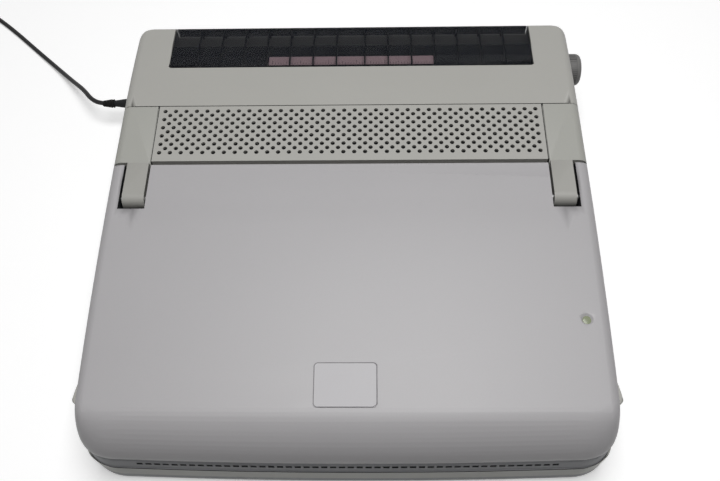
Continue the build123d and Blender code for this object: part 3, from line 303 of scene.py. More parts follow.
def moulded(name, colour, gloss=0.45, grain=900.0, depth=0.02, clouding=0.05, dust=0.04, shine=0.5):
    material, tree, shader = new_material(name)
    shader.inputs["Specular IOR Level"].default_value = shine
    surface = add_group(
        tree,
        moulded_surface,
        {"Colour": colour, "Grain": grain, "Clouding": clouding, "Dust": dust, "Gloss": gloss},
    )
    tree.links.new(surface.outputs["Colour"], shader.inputs["Base Color"])
    tree.links.new(surface.outputs["Roughness"], shader.inputs["Roughness"])
    add_bump(tree, shader, surface.outputs["Height"], depth * MM)
    return material


def metal(name, colour, streaks=400.0, depth=0.01):
    material, tree, shader = new_material(name)
    surface = add_group(tree, brushed_metal, {"Colour": colour, "Streaks": streaks})
    tree.links.new(surface.outputs["Colour"], shader.inputs["Base Color"])
    tree.links.new(surface.outputs["Roughness"], shader.inputs["Roughness"])
    shader.inputs["Metallic"].default_value = 1.0
    add_bump(tree, shader, surface.outputs["Height"], depth * MM)
    return material


def smoked_clear(name, colour, clearness):
    """Clear plastic of a dark tint, a little uneven in its haze and with a soft shine."""
    material, tree, shader = new_material(name)
    place = tree.nodes.new("ShaderNodeTexCoord").outputs["Object"]
    clouds = noise(tree, place, scale=60.0, detail=4.0, roughness=0.6)
    haze = math_node(tree, "MULTIPLY", clouds, 0.08)
    shader.inputs["Base Color"].default_value = colour
    tree.links.new(math_node(tree, "ADD", haze, 0.1), shader.inputs["Roughness"])
    tree.links.new(math_node(tree, "ADD", haze, 1.0 - clearness), shader.inputs["Alpha"])
    shader.inputs["Specular IOR Level"].default_value = 0.22
    return material


finishes = {
    "rear_shell": moulded("rear_shell", tint(172, 171, 166)),
    "top_case": moulded("top_case", tint(166, 166, 160)),
    "lid_top": moulded("lid_top", tint(175, 173, 175), gloss=0.4),
    # lid_skirt and base_tray are the case's grey made darker: painted shade for the lower front and the
    # base, which lie in shade.
    "lid_skirt": moulded("lid_skirt", tint(126, 127, 130), gloss=0.5),
    "base_tray": moulded("base_tray", tint(122, 124, 125), gloss=0.5),
    "badge": moulded("badge", tint(174, 172, 175), gloss=0.35, depth=0.008),
    "badge_border": moulded("badge_border", tint(96, 94, 97), gloss=0.4, depth=0.008),
    "trim": moulded("trim", tint(163, 162, 157)),
    "knob": moulded("knob", tint(108, 107, 106), gloss=0.5),
    "smoked_cover": smoked_clear("smoked_cover", tint(18, 22, 31), clearness=0.7),
    "dark_plastic": moulded(
        "dark_plastic", tint(26, 27, 29), gloss=0.55, grain=700.0, depth=0.0, dust=0.0, shine=0.15
    ),
    "key_caps": moulded("key_caps", tint(196, 194, 186), gloss=0.5),
    "function_caps": moulded("function_caps", tint(142, 142, 144), gloss=0.5),
    "scale": moulded("scale", tint(244, 208, 216), gloss=0.5, depth=0.0),
    "display": moulded("display", tint(96, 112, 92), gloss=0.12, depth=0.0, clouding=0.02, dust=0.0),
    "lamp": moulded("lamp", tint(132, 140, 110), gloss=0.2, depth=0.0),
    "marking": moulded("marking", tint(70, 60, 66), gloss=0.5, depth=0.0),
    "rubber": moulded("rubber", tint(22, 22, 22), gloss=0.75, depth=0.03, dust=0.0, shine=0.2),
    "steel": metal("steel", tint(190, 190, 188)),
    "ground_steel": metal("ground_steel", tint(205, 205, 205), streaks=900.0, depth=0.004),
    "board": moulded("board", tint(40, 92, 54), gloss=0.35, clouding=0.3),
    "gear_plastic": moulded("gear_plastic", tint(214, 210, 200), gloss=0.4),
    "cell_sleeve": moulded("cell_sleeve", tint(44, 84, 138), gloss=0.25, depth=0.005),
    "lead": moulded(
        "lead", tint(18, 18, 19), gloss=0.45, grain=1500.0, depth=0.01, dust=0.0, shine=0.25
    ),
}
node_slots = {part["node"]: part["material_slot"] for part in frame["record"]["subparts"]}
for node_name, slot_name in node_slots.items():
    piece = nodes[node_name]
    piece.data.materials.clear()
    piece.data.materials.append(finishes[slot_name])


# ---------------------------------------------------------------- mesh helpers
WELD = 0.002 * MM
body_groups = frame["record"]["behaviour"]["bodies"]
body_of_node = {node: body for body, members in body_groups.items() for node in members}


def finish_mesh(bm, name, finish, smooth_angle=35.0):
    """Turns a bmesh into an object of its own, smooth except across sharp corners."""
    mesh = bpy.data.meshes.new(name)
    bm.to_mesh(mesh)
    bm.free()
    mesh.shade_smooth()
    mesh.set_sharp_from_angle(angle=math.radians(smooth_angle))
    for material in finish if isinstance(finish, (list, tuple)) else [finish]:
        mesh.materials.append(material)
    return link(bpy.data.objects.new(name, mesh))


def outward(bm):
    bmesh.ops.remove_doubles(bm, verts=bm.verts, dist=WELD)
    bmesh.ops.recalc_face_normals(bm, faces=bm.faces)


def soften_edges(obj, width):
    """Rounds the sharp edges by a width in mm."""
    bevel = obj.modifiers.new("softened_edges", "BEVEL")
    bevel.width = width * MM
    bevel.segments = 2
    bevel.limit_method = "ANGLE"
    bevel.angle_limit = math.radians(40.0)
    bevel.harden_normals = True
    bevel.use_clamp_overlap = True


def joined_copy(node, whole_faces=True):
    """The node's loose triangles, copied and joined up, and made into whole faces where asked."""
    bm = bmesh.new()
    bm.from_mesh(nodes[node].data)
    bmesh.ops.remove_doubles(bm, verts=bm.verts, dist=WELD)
    if whole_faces:
        bmesh.ops.dissolve_limit(bm, angle_limit=math.radians(0.01), verts=bm.verts, edges=bm.edges)
    return bm


def even_shading(obj, pull=50):
    """Lets the large faces set the shading where a broad curve runs into a tight one."""
    weighted = obj.modifiers.new("even_shading", "WEIGHTED_NORMAL")
    weighted.mode = "FACE_AREA"
    weighted.weight = pull
    weighted.keep_sharp = True


# The lower front is drawn out fuller than its plain core: bowed across, with the lid's lower edge
# and the row of slots set a little lower and further forward, and squarer corners. Sizes are in mm.
HALF_WIDTH = 195.0
BOW = 4.0
FRONT_DROP = 5.0
EDGE_FORWARD = 4.5
BASE_FORWARD = 2.3
CORNER_FLARE = 2.5
FURTHEST_FRONT = -195.9
BEND_START = 160.0
BEND_FULL = 188.0
CORNER_SHARE = 0.85

# Levels: the base, the parting line, the slots, the lid's lower edge and its rounded front.
BASE_BEND = (12.0, 36.0)
SEAM = 38.2
SEAM_BAND = 0.4
SEAM_GROOVE = 1.5
SLOT_BAND = (45.2, 48.4)
SLOT_MIDDLE = 46.7
SLOT_STRETCH = 1.4
LID_EDGE = 52.0
LID_EDGE_SHARE = 0.65
BULGE = 60.0
BULGE_END = 90.0
DROP_FADES = 54.0
BEND_END = 88.0

CUTS_ACROSS = 20
CUT_AHEAD_OF = -158.0
FRONT_CUTS_Y = (-160.0, -166.0, -172.0, -178.0, -184.0, -189.0)
FRONT_CUTS_Z = (14.0, 26.0, SEAM, 40.0, 45.0, 49.0, LID_EDGE, 54.0, 57.0, 61.0, 67.0, 74.0, 81.0)


def ramp(value, start, full):
    share = min(max((value - start) / (full - start), 0.0), 1.0)
    return share * share * (3 - 2 * share)


def front_faces(bm):
    return [face for face in bm.faces if min(corner.co.y for corner in face.verts) < CUT_AHEAD_OF * MM]


def cut_front(bm):
    """Cuts the front's faces into strips, so that they can bend."""
    bmesh.ops.triangulate(bm, faces=front_faces(bm))
    side_steps = range(1 - CUTS_ACROSS // 2, CUTS_ACROSS // 2)
    cuts = [((SIDE_SHIFT + step * HALF_WIDTH * 2 / CUTS_ACROSS, 0, 0), (1, 0, 0)) for step in side_steps]
    cuts += [((0, y, 0), (0, 1, 0)) for y in FRONT_CUTS_Y]
    cuts += [((0, 0, z), (0, 0, 1)) for z in FRONT_CUTS_Z]
    for place, normal in cuts:
        front = front_faces(bm)
        corners = {corner for face in front for corner in face.verts}
        edges = {edge for face in front for edge in face.edges}
        bmesh.ops.bisect_plane(
            bm,
            geom=list(corners) + list(edges) + front,
            dist=0.001 * MM,
            plane_co=Vector(place) * MM,
            plane_no=normal,
        )


def forward_reach(z):
    """How far forward a level comes: the base evenly, the lid most at its bulge."""
    if z < SEAM:
        return BASE_FORWARD
    lower = ramp(z, SEAM, LID_EDGE) * (LID_EDGE_SHARE + (1 - LID_EDGE_SHARE) * ramp(z, LID_EDGE, BULGE))
    return EDGE_FORWARD * lower * (1 - ramp(z, BULGE, BULGE_END))


def side_reach(z):
    """How far a corner moves outward at a level."""
    base_reach = BASE_FORWARD if z < SEAM else 0.0
    return base_reach + CORNER_FLARE * (1 - ramp(z, BULGE, BEND_END))


def fall(z):
    """How far a level moves down; the parting line opens to a groove and the slots grow taller."""
    drop = FRONT_DROP * ramp(z, *BASE_BEND) * (1 - ramp(z, DROP_FADES, BEND_END))
    if SEAM < z < SEAM + SEAM_BAND:
        drop -= SEAM_GROOVE
    if SLOT_BAND[0] < z < SLOT_BAND[1]:
        drop += (z - SLOT_MIDDLE) * (1 - SLOT_STRETCH)
    return drop


def draw_out(place):
    """Where a point of the plain core lies once the front is drawn out (all in mm)."""
    x, y, z = place
    near = ramp(-y, BEND_START, BEND_FULL)
    across = (x - SIDE_SHIFT) / HALF_WIDTH
    corner = ramp(abs(across), CORNER_SHARE, 1.0)
    drawn_x = x + math.copysign(side_reach(z) * near * corner, across)
    drawn_y = y + near * (BOW * across**2 - forward_reach(z))
    return Vector((drawn_x, max(drawn_y, FURTHEST_FRONT), z - near * fall(z)))


def shape_front(bm):
    cut_front(bm)
    for corner in bm.verts:
        if corner.co.y < -BEND_START * MM:
            corner.co = draw_out(corner.co / MM) * MM


def settle(obj, body, slot, *stands_for):
    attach(obj, body)
    if stands_for:
        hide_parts(*stands_for)
    return obj


# Where the slots, the hinge arms' notches and the wall behind the lid are, in mm from the middle.
SLOTS_LOW = 45.4
SLOTS_HIGH = 48.0
SLOTS_HALF = 157.0
SLOTS_REAR = -176.0
NOTCH_INNER = 161.5
NOTCH_OUTER = 184.5
NOTCH_FRONT = -9.0
NOTCH_REAR = 37.0
NOTCH_LOW = 60.0
NOTCH_BRIM = 88.0
WELL_WALL_NEAR = 39.5
WELL_WALL_FAR = 42.0
WELL_HALF = 165.0
KEPT_IN_TRIANGLES = "base_top_case"


def paint_shade_in_slots(bm):
    """The inner faces of the row of slots along the front take the second, black finish: painted shade
    inside the slots.
    """
    for face in bm.faces:
        place = face.calc_center_median() / MM
        inside = SLOTS_LOW < place.z < SLOTS_HIGH and abs(place.x - SIDE_SHIFT) < SLOTS_HALF
        if inside and place.y < SLOTS_REAR and face.normal.y > -0.5:
            face.material_index = 1


def paint_shade_in_gaps(bm):
    """The walls of the notches round the hinge arms, and the wall behind the lid, take the second, black
    finish: painted shade in these gaps.
    """
    for face in bm.faces:
        place = face.calc_center_median() / MM
        reach = abs(place.x - SIDE_SHIFT)
        beside_arm = NOTCH_INNER < reach < NOTCH_OUTER and NOTCH_FRONT < place.y < NOTCH_REAR
        in_notch = beside_arm and place.z > NOTCH_LOW and (face.normal.z < 0.8 or place.z < NOTCH_BRIM)
        on_wall = WELL_WALL_NEAR < place.y < WELL_WALL_FAR and face.normal.y < -0.5
        if in_notch or (on_wall and reach < WELL_HALF):
            face.material_index = 1


def moulding(node, edge=0.0, fuller=False, pull=50):
    """A node's own shape, smooth-shaded; its front may be drawn out and its sharp edges broken."""
    slot = node_slots[node]
    bm = joined_copy(node, whole_faces=node != KEPT_IN_TRIANGLES)
    if node in ("lid_shell", "base_top_case"):
        paint_shade_in_gaps(bm)
    if fuller:
        paint_shade_in_slots(bm)
        shape_front(bm)
    # The second finish, black plastic, is painted shade in the slots and in the gaps round the hinge arms
    # and behind the lid.
    obj = finish_mesh(bm, node + "_moulding", [finishes[slot], finishes["dark_plastic"]])
    if edge:
        soften_edges(obj, edge)
    even_shading(obj, pull)
    settle(obj, body_of_node[node], slot, node)


def spun(profile, axis_point, axis, steps):
    """A turned shape: the profile's points, joined in a line, spun right round an axis."""
    bm = bmesh.new()
    corners = [bm.verts.new(point) for point in profile]
    edges = [bm.edges.new(pair) for pair in zip(corners, corners[1:])]
    bmesh.ops.spin(
        bm,
        geom=corners + edges,
        cent=axis_point,
        axis=axis,
        angle=2 * math.pi,
        steps=steps,
        use_merge=True,
    )
    outward(bm)
    return bm


def add_block(bm, low, high):
    """A plain block between two opposite corners."""
    made = bmesh.ops.create_cube(bm, size=1.0)["verts"]
    low, high = Vector(low), Vector(high)
    bmesh.ops.scale(bm, vec=high - low, verts=made)
    bmesh.ops.translate(bm, vec=(low + high) / 2, verts=made)


# ---------------------------------------------------------------- grille
HOLE_PITCH = 8.97 * MM
HOLE_ROW_PITCH = 4.29 * MM
HOLE_ROWS = 11
HOLES_IN_LONG_ROW = 36
HOLE_RADIUS = 1.85 * MM
HOLE_SIDES = 14
GRILLE_THICK = 2.2 * MM
GRILLE_FLANGE = 2.2 * MM
FIELD_REARWARD = 1.7 * MM
ON_LINE = 0.05 * MM


def pierced_tile(bm, centre):
    """One cell of the sheet with its round hole; the cell's long edges also have middle points."""
    across = HOLE_PITCH / 2
    up = HOLE_ROW_PITCH / 2
    places = [(-across, -up), (0, -up), (across, -up), (across, up), (0, up), (-across, up)]
    corners = [bm.verts.new((centre.x + x, centre.y + y, centre.z)) for x, y in places]
    rim = [bm.edges.new((corner, corners[index - 1])) for index, corner in enumerate(corners)]
    circle = bmesh.ops.create_circle(
        bm, segments=HOLE_SIDES, radius=HOLE_RADIUS, matrix=Matrix.Translation(centre)
    )["verts"]
    hole = list({edge for corner in circle for edge in corner.link_edges})
    bmesh.ops.bridge_loops(bm, edges=rim + hole)


def plain_half_tile(bm, centre, side):
    """The blank half cell that ends a short row."""
    up = HOLE_ROW_PITCH / 2
    near = centre.x
    far = centre.x + side * HOLE_PITCH / 2
    places = [(near, -up), (far, -up), (far, up), (near, up)]
    bm.faces.new([bm.verts.new((x, centre.y + y, centre.z)) for x, y in places])


SIDE_GAP = 0.7 * MM
STRIP_UNDERLAP = 0.1 * MM
STRIP_START = 0.5 * MM
SIDE_STRIP_LEVELS = (6.0 * MM, 0.7 * MM)
REAR_STRIP_LEVELS = (8.0 * MM, 0.5 * MM)
STRIP_HALF = 186.0 * MM
UNDER_SHEET_DROP = 0.9 * MM
UNDER_SHEET_THICK = 0.3 * MM
UNDER_SHEET_INSET = 1.5 * MM


def make_gap_shade_strips():
    """Black strips deep in the gaps round the grille, painted shade that darkens these gaps, and a black
    sheet under its holes.
    """
    low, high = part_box("grille_panel")
    house_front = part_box("printer_housing")[0].y
    middle = SIDE_SHIFT * MM
    bm = bmesh.new()
    under, top = (high.z - drop for drop in SIDE_STRIP_LEVELS)
    for edge, side in ((low.x, 1), (high.x, -1)):
        left, right = sorted((edge - side * STRIP_UNDERLAP, edge + side * SIDE_GAP))
        add_block(bm, (left, low.y + STRIP_START, under), (right, high.y, top))
    under, top = (high.z - drop for drop in REAR_STRIP_LEVELS)
    add_block(bm, (middle - STRIP_HALF, high.y, under), (middle + STRIP_HALF, house_front, top))
    under_sheet = high.z - GRILLE_THICK - UNDER_SHEET_DROP
    add_block(
        bm,
        (low.x + UNDER_SHEET_INSET, low.y + 2 * UNDER_SHEET_INSET, under_sheet - UNDER_SHEET_THICK),
        (high.x - UNDER_SHEET_INSET, high.y - UNDER_SHEET_INSET, under_sheet),
    )
    strips = finish_mesh(bm, "gap_shade_strips", finishes["dark_plastic"])
    settle(strips, "base", "dark_plastic")


def make_grille():
    low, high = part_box("grille_panel")
    low.x += SIDE_GAP
    high.x -= SIDE_GAP
    middle = Vector(((low.x + high.x) / 2, (low.y + high.y) / 2 + FIELD_REARWARD, high.z))
    bm = bmesh.new()
    for row in range(HOLE_ROWS):
        count = HOLES_IN_LONG_ROW - row % 2
        y = middle.y + (row - (HOLE_ROWS - 1) / 2) * HOLE_ROW_PITCH
        for index in range(count):
            x = middle.x + (index - (count - 1) / 2) * HOLE_PITCH
            pierced_tile(bm, Vector((x, y, high.z)))
        if row % 2:
            for side in (-1, 1):
                plain_half_tile(bm, Vector((middle.x + side * count * HOLE_PITCH / 2, y, high.z)), side)
    bmesh.ops.remove_doubles(bm, verts=bm.verts, dist=0.02 * MM)
    field_x = HOLES_IN_LONG_ROW * HOLE_PITCH / 2
    field_y = HOLE_ROWS * HOLE_ROW_PITCH / 2

    def on_border(corner):
        return (
            abs(abs(corner.co.x - middle.x) - field_x) < ON_LINE
            or abs(abs(corner.co.y - middle.y) - field_y) < ON_LINE
        )

    border = [edge for edge in bm.edges if edge.is_boundary and all(on_border(v) for v in edge.verts)]
    grown = bmesh.ops.extrude_edge_only(bm, edges=border)["geom"]
    for corner in (item for item in grown if isinstance(item, bmesh.types.BMVert)):
        offset = corner.co - middle
        if abs(abs(offset.x) - field_x) < ON_LINE:
            corner.co.x = high.x if offset.x > 0 else low.x
        if abs(abs(offset.y) - field_y) < ON_LINE:
            corner.co.y = high.y if offset.y > 0 else low.y
    bmesh.ops.recalc_face_normals(bm, faces=bm.faces)
    sheet = bmesh.ops.extrude_face_region(bm, geom=bm.faces[:])["geom"]
    under = [item for item in sheet if isinstance(item, bmesh.types.BMVert)]
    bmesh.ops.translate(bm, vec=(0, 0, -GRILLE_THICK), verts=under)
    outward(bm)
    add_block(bm, low, (high.x, low.y + GRILLE_FLANGE, high.z - GRILLE_THICK))
    grille = finish_mesh(bm, "grille_sheet", finishes["rear_shell"], smooth_angle=40.0)
    settle(grille, "base", "rear_shell", "grille_panel")


# ---------------------------------------------------------------- paper feed knob
KNOB_ROUND = 4.2 * MM
KNOB_CHAMFER = 0.8 * MM
KNOB_DISH = 0.6 * MM
KNOB_RIBS = 48
FLUTE_DEPTH = 0.7 * MM
FLUTE_INSET = 0.08 * MM


def make_knob():
    """Knob with fine straight ribs, a rounded rim and a slightly dished face."""
    low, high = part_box("feed_knob")
    radius = (high.z - low.z) / 2
    centre = (low + high) / 2
    inner = low.x
    outer = high.x
    rim = outer - KNOB_ROUND
    profile = [(inner, 0.25), (inner, 0.97), (inner + KNOB_CHAMFER, 1.0), (rim, 1.0)]
    for step in range(1, 6):
        turn = math.radians(18 * step)
        share = 1 - KNOB_ROUND / radius * (1 - math.cos(turn))
        profile.append((outer - KNOB_ROUND * (1 - math.sin(turn)), share))
    profile += [(outer - 0.1 * MM, 0.62), (outer - KNOB_DISH, 0.5), (outer - KNOB_DISH, 0.0)]
    points = [(x, centre.y, centre.z + share * radius) for x, share in profile]
    steps = 2 * KNOB_RIBS
    bm = spun(points, centre, (1, 0, 0), steps)
    band = []
    for face in bm.faces:
        place = face.calc_center_median()
        reach = math.hypot(place.y - centre.y, place.z - centre.z)
        if reach > 0.95 * radius and inner + KNOB_CHAMFER < place.x < rim:
            turn = math.degrees(math.atan2(place.z - centre.z, place.y - centre.y)) % 360
            if int(turn / (360 / steps)) % 2 == 0:
                band.append(face)
    bmesh.ops.inset_individual(bm, faces=band, thickness=FLUTE_INSET, depth=-FLUTE_DEPTH)
    knob = finish_mesh(bm, "ribbed_knob", finishes["knob"], smooth_angle=30.0)
    settle(knob, "platen", "knob", "feed_knob")


# ---------------------------------------------------------------- smoked cover over the printer
RIB_FIRST = 12.7 * MM
RIB_PITCH = 20.8 * MM
RIB_THICK = 1.2 * MM
RIBS_EACH_SIDE = 7
REAR_EDGE = 3.5 * MM


def make_cover():
    """The cover's own shape; its stiffening ribs and its rear edge are of opaque black."""
    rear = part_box("printer_cover")[1].y
    middle = SIDE_SHIFT * MM
    reaches = [RIB_FIRST + index * RIB_PITCH for index in range(RIBS_EACH_SIDE)]
    ribs = [middle + side * reach for side in (-1, 1) for reach in reaches]
    bm = joined_copy("printer_cover", whole_faces=False)
    for face in bm.faces:
        place = face.calc_center_median()
        near = min(abs(place.x - rib) for rib in ribs)
        side_face = abs(face.normal.x) > 0.9
        rib_face = near < RIB_THICK * 0.6 and (side_face or face.normal.z < -0.3)
        rear_face = place.y > rear - REAR_EDGE
        face.material_index = 1 if rib_face or rear_face else 0
    cover = finish_mesh(bm, "smoked_lid", [finishes["smoked_cover"], finishes["dark_plastic"]])
    settle(cover, "printer_cover", "smoked_cover", "printer_cover")


# ---------------------------------------------------------------- paper scale
DIVISION = 2.54 * MM
MARK_HALF = 0.16 * MM
MARK_THICK = 0.15 * MM
MARK_START = 0.8 * MM
SCALE_ENDS = 6 * MM


def mark_length(index):
    if index % 10 == 0:
        return 4.2 * MM
    return (2.9 if index % 5 == 0 else 1.7) * MM


def make_scale():
    """Pale strip with evenly spaced divisions, longer at every fifth and tenth."""
    low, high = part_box("paper_scale")
    bm = bmesh.new()
    add_block(bm, low, high - Vector((0, 0, MARK_THICK)))
    strip = finish_mesh(bm, "scale_strip", finishes["scale"])
    settle(strip, "base", "scale", "paper_scale")
    marks = bmesh.new()
    near = low.y + MARK_START
    count = int((high.x - low.x - SCALE_ENDS) / DIVISION)
    for index in range(count + 1):
        x = (low.x + high.x) / 2 + (index - count / 2) * DIVISION
        far = near + mark_length(index)
        add_block(marks, (x - MARK_HALF, near, high.z - MARK_THICK), (x + MARK_HALF, far, high.z))
    lines = finish_mesh(marks, "scale_marks", finishes["marking"])
    settle(lines, "base", "scale")


# ---------------------------------------------------------------- badge and small prints
BADGE_BORDER = 0.6 * MM
BORDER_DEPTH = 0.15 * MM
BADGE_TOP_BAND = 3 * MM
SIGN_THICK = 0.12 * MM
SIGN_SUNK = 0.05 * MM
SIGN_BEYOND_LAMP = 5.2 * MM
# Outline, knob and minus sign of a battery: left, right, front and rear of each bar, in mm.
BATTERY_BARS = (
    (-3.0, 2.4, -1.5, -1.05),
    (-3.0, 2.4, 1.05, 1.5),
    (-3.0, -2.5, -1.5, 1.5),
    (1.9, 2.4, -1.5, 1.5),
    (2.4, 3.1, -0.6, 0.6),
    (-2.0, -0.9, -0.6, 0.6),
)


def make_badge():
    """The blank badge plate, with a darker line pressed round its edge."""
    bm = joined_copy("badge_plate")
    level = max(corner.co.z for corner in bm.verts) - BADGE_TOP_BAND
    top = [face for face in bm.faces if face.normal.z > 0.9 and face.calc_center_median().z > level]
    rim = bmesh.ops.inset_region(bm, faces=top, thickness=BADGE_BORDER, depth=-BORDER_DEPTH)["faces"]
    for face in rim:
        face.material_index = 1
    badge = finish_mesh(bm, "badge_plate_moulding", [finishes["badge"], finishes["badge_border"]])
    even_shading(badge)
    settle(badge, "lid", "badge", "badge_plate")


def make_battery_sign():
    """A battery sign printed behind the lamp."""
    low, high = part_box("charge_lamp")
    x = (low.x + high.x) / 2
    y = high.y + SIGN_BEYOND_LAMP
    under = high.z - SIGN_SUNK
    bm = bmesh.new()
    for left, right, front, rear in BATTERY_BARS:
        add_block(
            bm, (x + left * MM, y + front * MM, under), (x + right * MM, y + rear * MM, under + SIGN_THICK)
        )
    sign = finish_mesh(bm, "battery_sign", finishes["marking"])
    settle(sign, "lid", "dark_plastic")


# ---------------------------------------------------------------- painted shade behind the slots and in the parting line at the front
SHADE_SHEET_HALF = 156.6
SHADE_SHEET_FRONT = -190.9
SHADE_SHEET_REAR = -190.5
SHADE_SHEET_LOW = 45.25
SHADE_SHEET_HIGH = 48.35


def make_slot_shade_sheet():
    """A black sheet behind the row of slots: painted shade that makes the slots read dark."""
    bm = bmesh.new()
    near = Vector((SIDE_SHIFT - SHADE_SHEET_HALF, SHADE_SHEET_FRONT, SHADE_SHEET_LOW))
    far = Vector((SIDE_SHIFT + SHADE_SHEET_HALF, SHADE_SHEET_REAR, SHADE_SHEET_HIGH))
    add_block(bm, near * MM, far * MM)
    shape_front(bm)
    shade_sheet = finish_mesh(bm, "slot_shade_sheet", finishes["dark_plastic"])
    settle(shade_sheet, "lid", "dark_plastic")


RIM_HALF = 192.5
RIM_FRONT = -193.5
RIM_CORNER = 21.5
RIM_LEVEL = 38.0
SHADE_STRIP_INSET = -0.08
SHADE_STRIP_WIDE = 2.6
SHADE_STRIP_LOW = 36.7
SHADE_STRIP_HIGH = 38.36
SHADE_STRIP_REAR = -60.0
SIDE_STEPS = 12
CORNER_STEPS = 12
HALF_FRONT_STEPS = 15


def shade_strip_path(inset):
    """Down one side, round the front corners and up the other side, at a given inset."""
    side = RIM_HALF - inset
    front = RIM_FRONT + inset
    radius = RIM_CORNER - inset
    run = side - radius
    side_step = (front + radius - SHADE_STRIP_REAR) / SIDE_STEPS
    places = [(-side, SHADE_STRIP_REAR + step * side_step) for step in range(SIDE_STEPS)]
    for step in range(CORNER_STEPS + 1):
        turn = math.radians(180 + 90 / CORNER_STEPS * step)
        places.append((-run + radius * math.cos(turn), front + radius + radius * math.sin(turn)))
    places += [(-run + run * step / HALF_FRONT_STEPS, front) for step in range(1, HALF_FRONT_STEPS)]
    half_path = places + [(0.0, front)]
    return half_path + [(-x, y) for x, y in reversed(half_path[:-1])]


def shade_strip_place(x, y, z):
    """The shade strip is drawn out with the base's rim, and keeps its own height about the rim's level."""
    if y >= -BEND_START:
        return Vector((x, y, z))
    return draw_out((x, y, RIM_LEVEL)) + Vector((0, 0, z - RIM_LEVEL))


def make_seam_shade_strip():
    """A thin black strip along the base's rim, under the lid's edge: painted shade in the parting line's
    groove.
    """
    bm = bmesh.new()
    inner = SHADE_STRIP_INSET + SHADE_STRIP_WIDE
    corners = ((SHADE_STRIP_INSET, SHADE_STRIP_LOW), (SHADE_STRIP_INSET, SHADE_STRIP_HIGH), (inner, SHADE_STRIP_HIGH), (inner, SHADE_STRIP_LOW))
    runs = []
    for inset, z in corners:
        spots = [shade_strip_place(x + SIDE_SHIFT, y, z) for x, y in shade_strip_path(inset)]
        marks = [bm.verts.new(spot * MM) for spot in spots]
        runs.append([bm.edges.new(pair) for pair in zip(marks, marks[1:])])
    for first, second in zip(runs, runs[1:] + runs[:1]):
        bmesh.ops.bridge_loops(bm, edges=first + second)
    bmesh.ops.holes_fill(bm, edges=bm.edges, sides=4)
    outward(bm)
    shade_strip = finish_mesh(bm, "seam_shade_strip", finishes["rubber"])
    settle(shade_strip, "base", "rubber")


# ---------------------------------------------------------------- charge lamp
LENS_SKIRT = 2.0 * MM
DOME_START = 0.55 * MM
DOME_RISE = 0.5 * MM
DOME_STEPS = 6
LENS_STEPS = 32


def make_lamp():
    """A small lens with a domed top, standing in a conical recess."""
    low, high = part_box("charge_lamp")
    radius = (high.x - low.x) / 2
    centre = (low + high) / 2
    dome = [(1.0, -LENS_SKIRT), (1.0, -DOME_START)]
    for step in range(1, DOME_STEPS + 1):
        turn = math.radians(90 / DOME_STEPS * step)
        dome.append((math.cos(turn), DOME_RISE * math.sin(turn) - DOME_START))
    points = [(centre.x + share * radius, centre.y, high.z + drop) for share, drop in dome]
    lens = finish_mesh(spun(points, centre, (0, 0, 1), LENS_STEPS), "lamp_lens", finishes["lamp"])
    settle(lens, "lid", "lamp", "charge_lamp")


# ---------------------------------------------------------------- pieces that keep their node's shape
for node_name in ("lid_shell", "lid_bezel", "base_top_case", "base_bottom_case"):
    moulding(node_name, fuller=True, pull=90)
for node_name in (
    "printer_housing",
    "hinge_arm_left",
    "hinge_arm_right",
    "latch_left",
    "latch_right",
    "key_frame",
    "display_panel",
    "rubber_feet",
    "battery_hatch",
    "floppy_drive",
    "floppy_door",
    "eject_button",
    "power_slider",
    "contrast_wheel",
    "platen_roller",
    "platen_shaft",
    "carriage_rail",
    "ribbon_cassette",
    "case_screws",
    "hinge_pins",
    "dc_plug",
):
    moulding(node_name)
for node_name in [f"key_row_{row}" for row in range(1, 6)] + ["function_keys", "space_bar"]:
    moulding(node_name, edge=0.5)
make_badge()
make_battery_sign()
make_slot_shade_sheet()
make_seam_shade_strip()
make_gap_shade_strips()
make_grille()
make_knob()
make_cover()
make_scale()
make_lamp()


# ---------------------------------------------------------------- lead and its coil
CABLE_RADIUS = 2.2
ROUTE = [
    (-233.0, 159.5, 24.0),
    (-245.0, 159.5, 24.0),
    (-256.0, 165.5, 23.0),
    (-267.0, 180.0, 20.5),
    (-283.0, 197.0, 12.5),
    (-304.0, 219.5, 4.4),
    (-332.0, 246.0, CABLE_RADIUS),
    (-365.0, 277.0, CABLE_RADIUS),
    (-391.0, 298.5, CABLE_RADIUS),
    (-408.0, 310.5, CABLE_RADIUS),
]
COIL_RADIUS = 22.6
COIL_COLUMNS = 3
COIL_LAYERS = 4
LEAD_IN = 18.0
LEAVING = 288.0
STRAIGHT_ENDS = (9.0, 19.0)
TURN_POINTS = 16


def along(distance, degrees):
    """A level step of a given distance on a heading."""
    angle = math.radians(degrees)
    return Vector((distance * math.cos(angle), distance * math.sin(angle), 0))


def coil_place():
    """Centre of the coil and the heading on which the lead comes in."""
    last = Vector(ROUTE[-1]) - Vector(ROUTE[-2])
    heading = math.degrees(math.atan2(last.y, last.x))
    outer = COIL_RADIUS + (COIL_COLUMNS - 1) * CABLE_RADIUS
    touch = Vector(ROUTE[-1]) + along(LEAD_IN, heading)
    return touch + along(outer, heading + 90), heading, outer


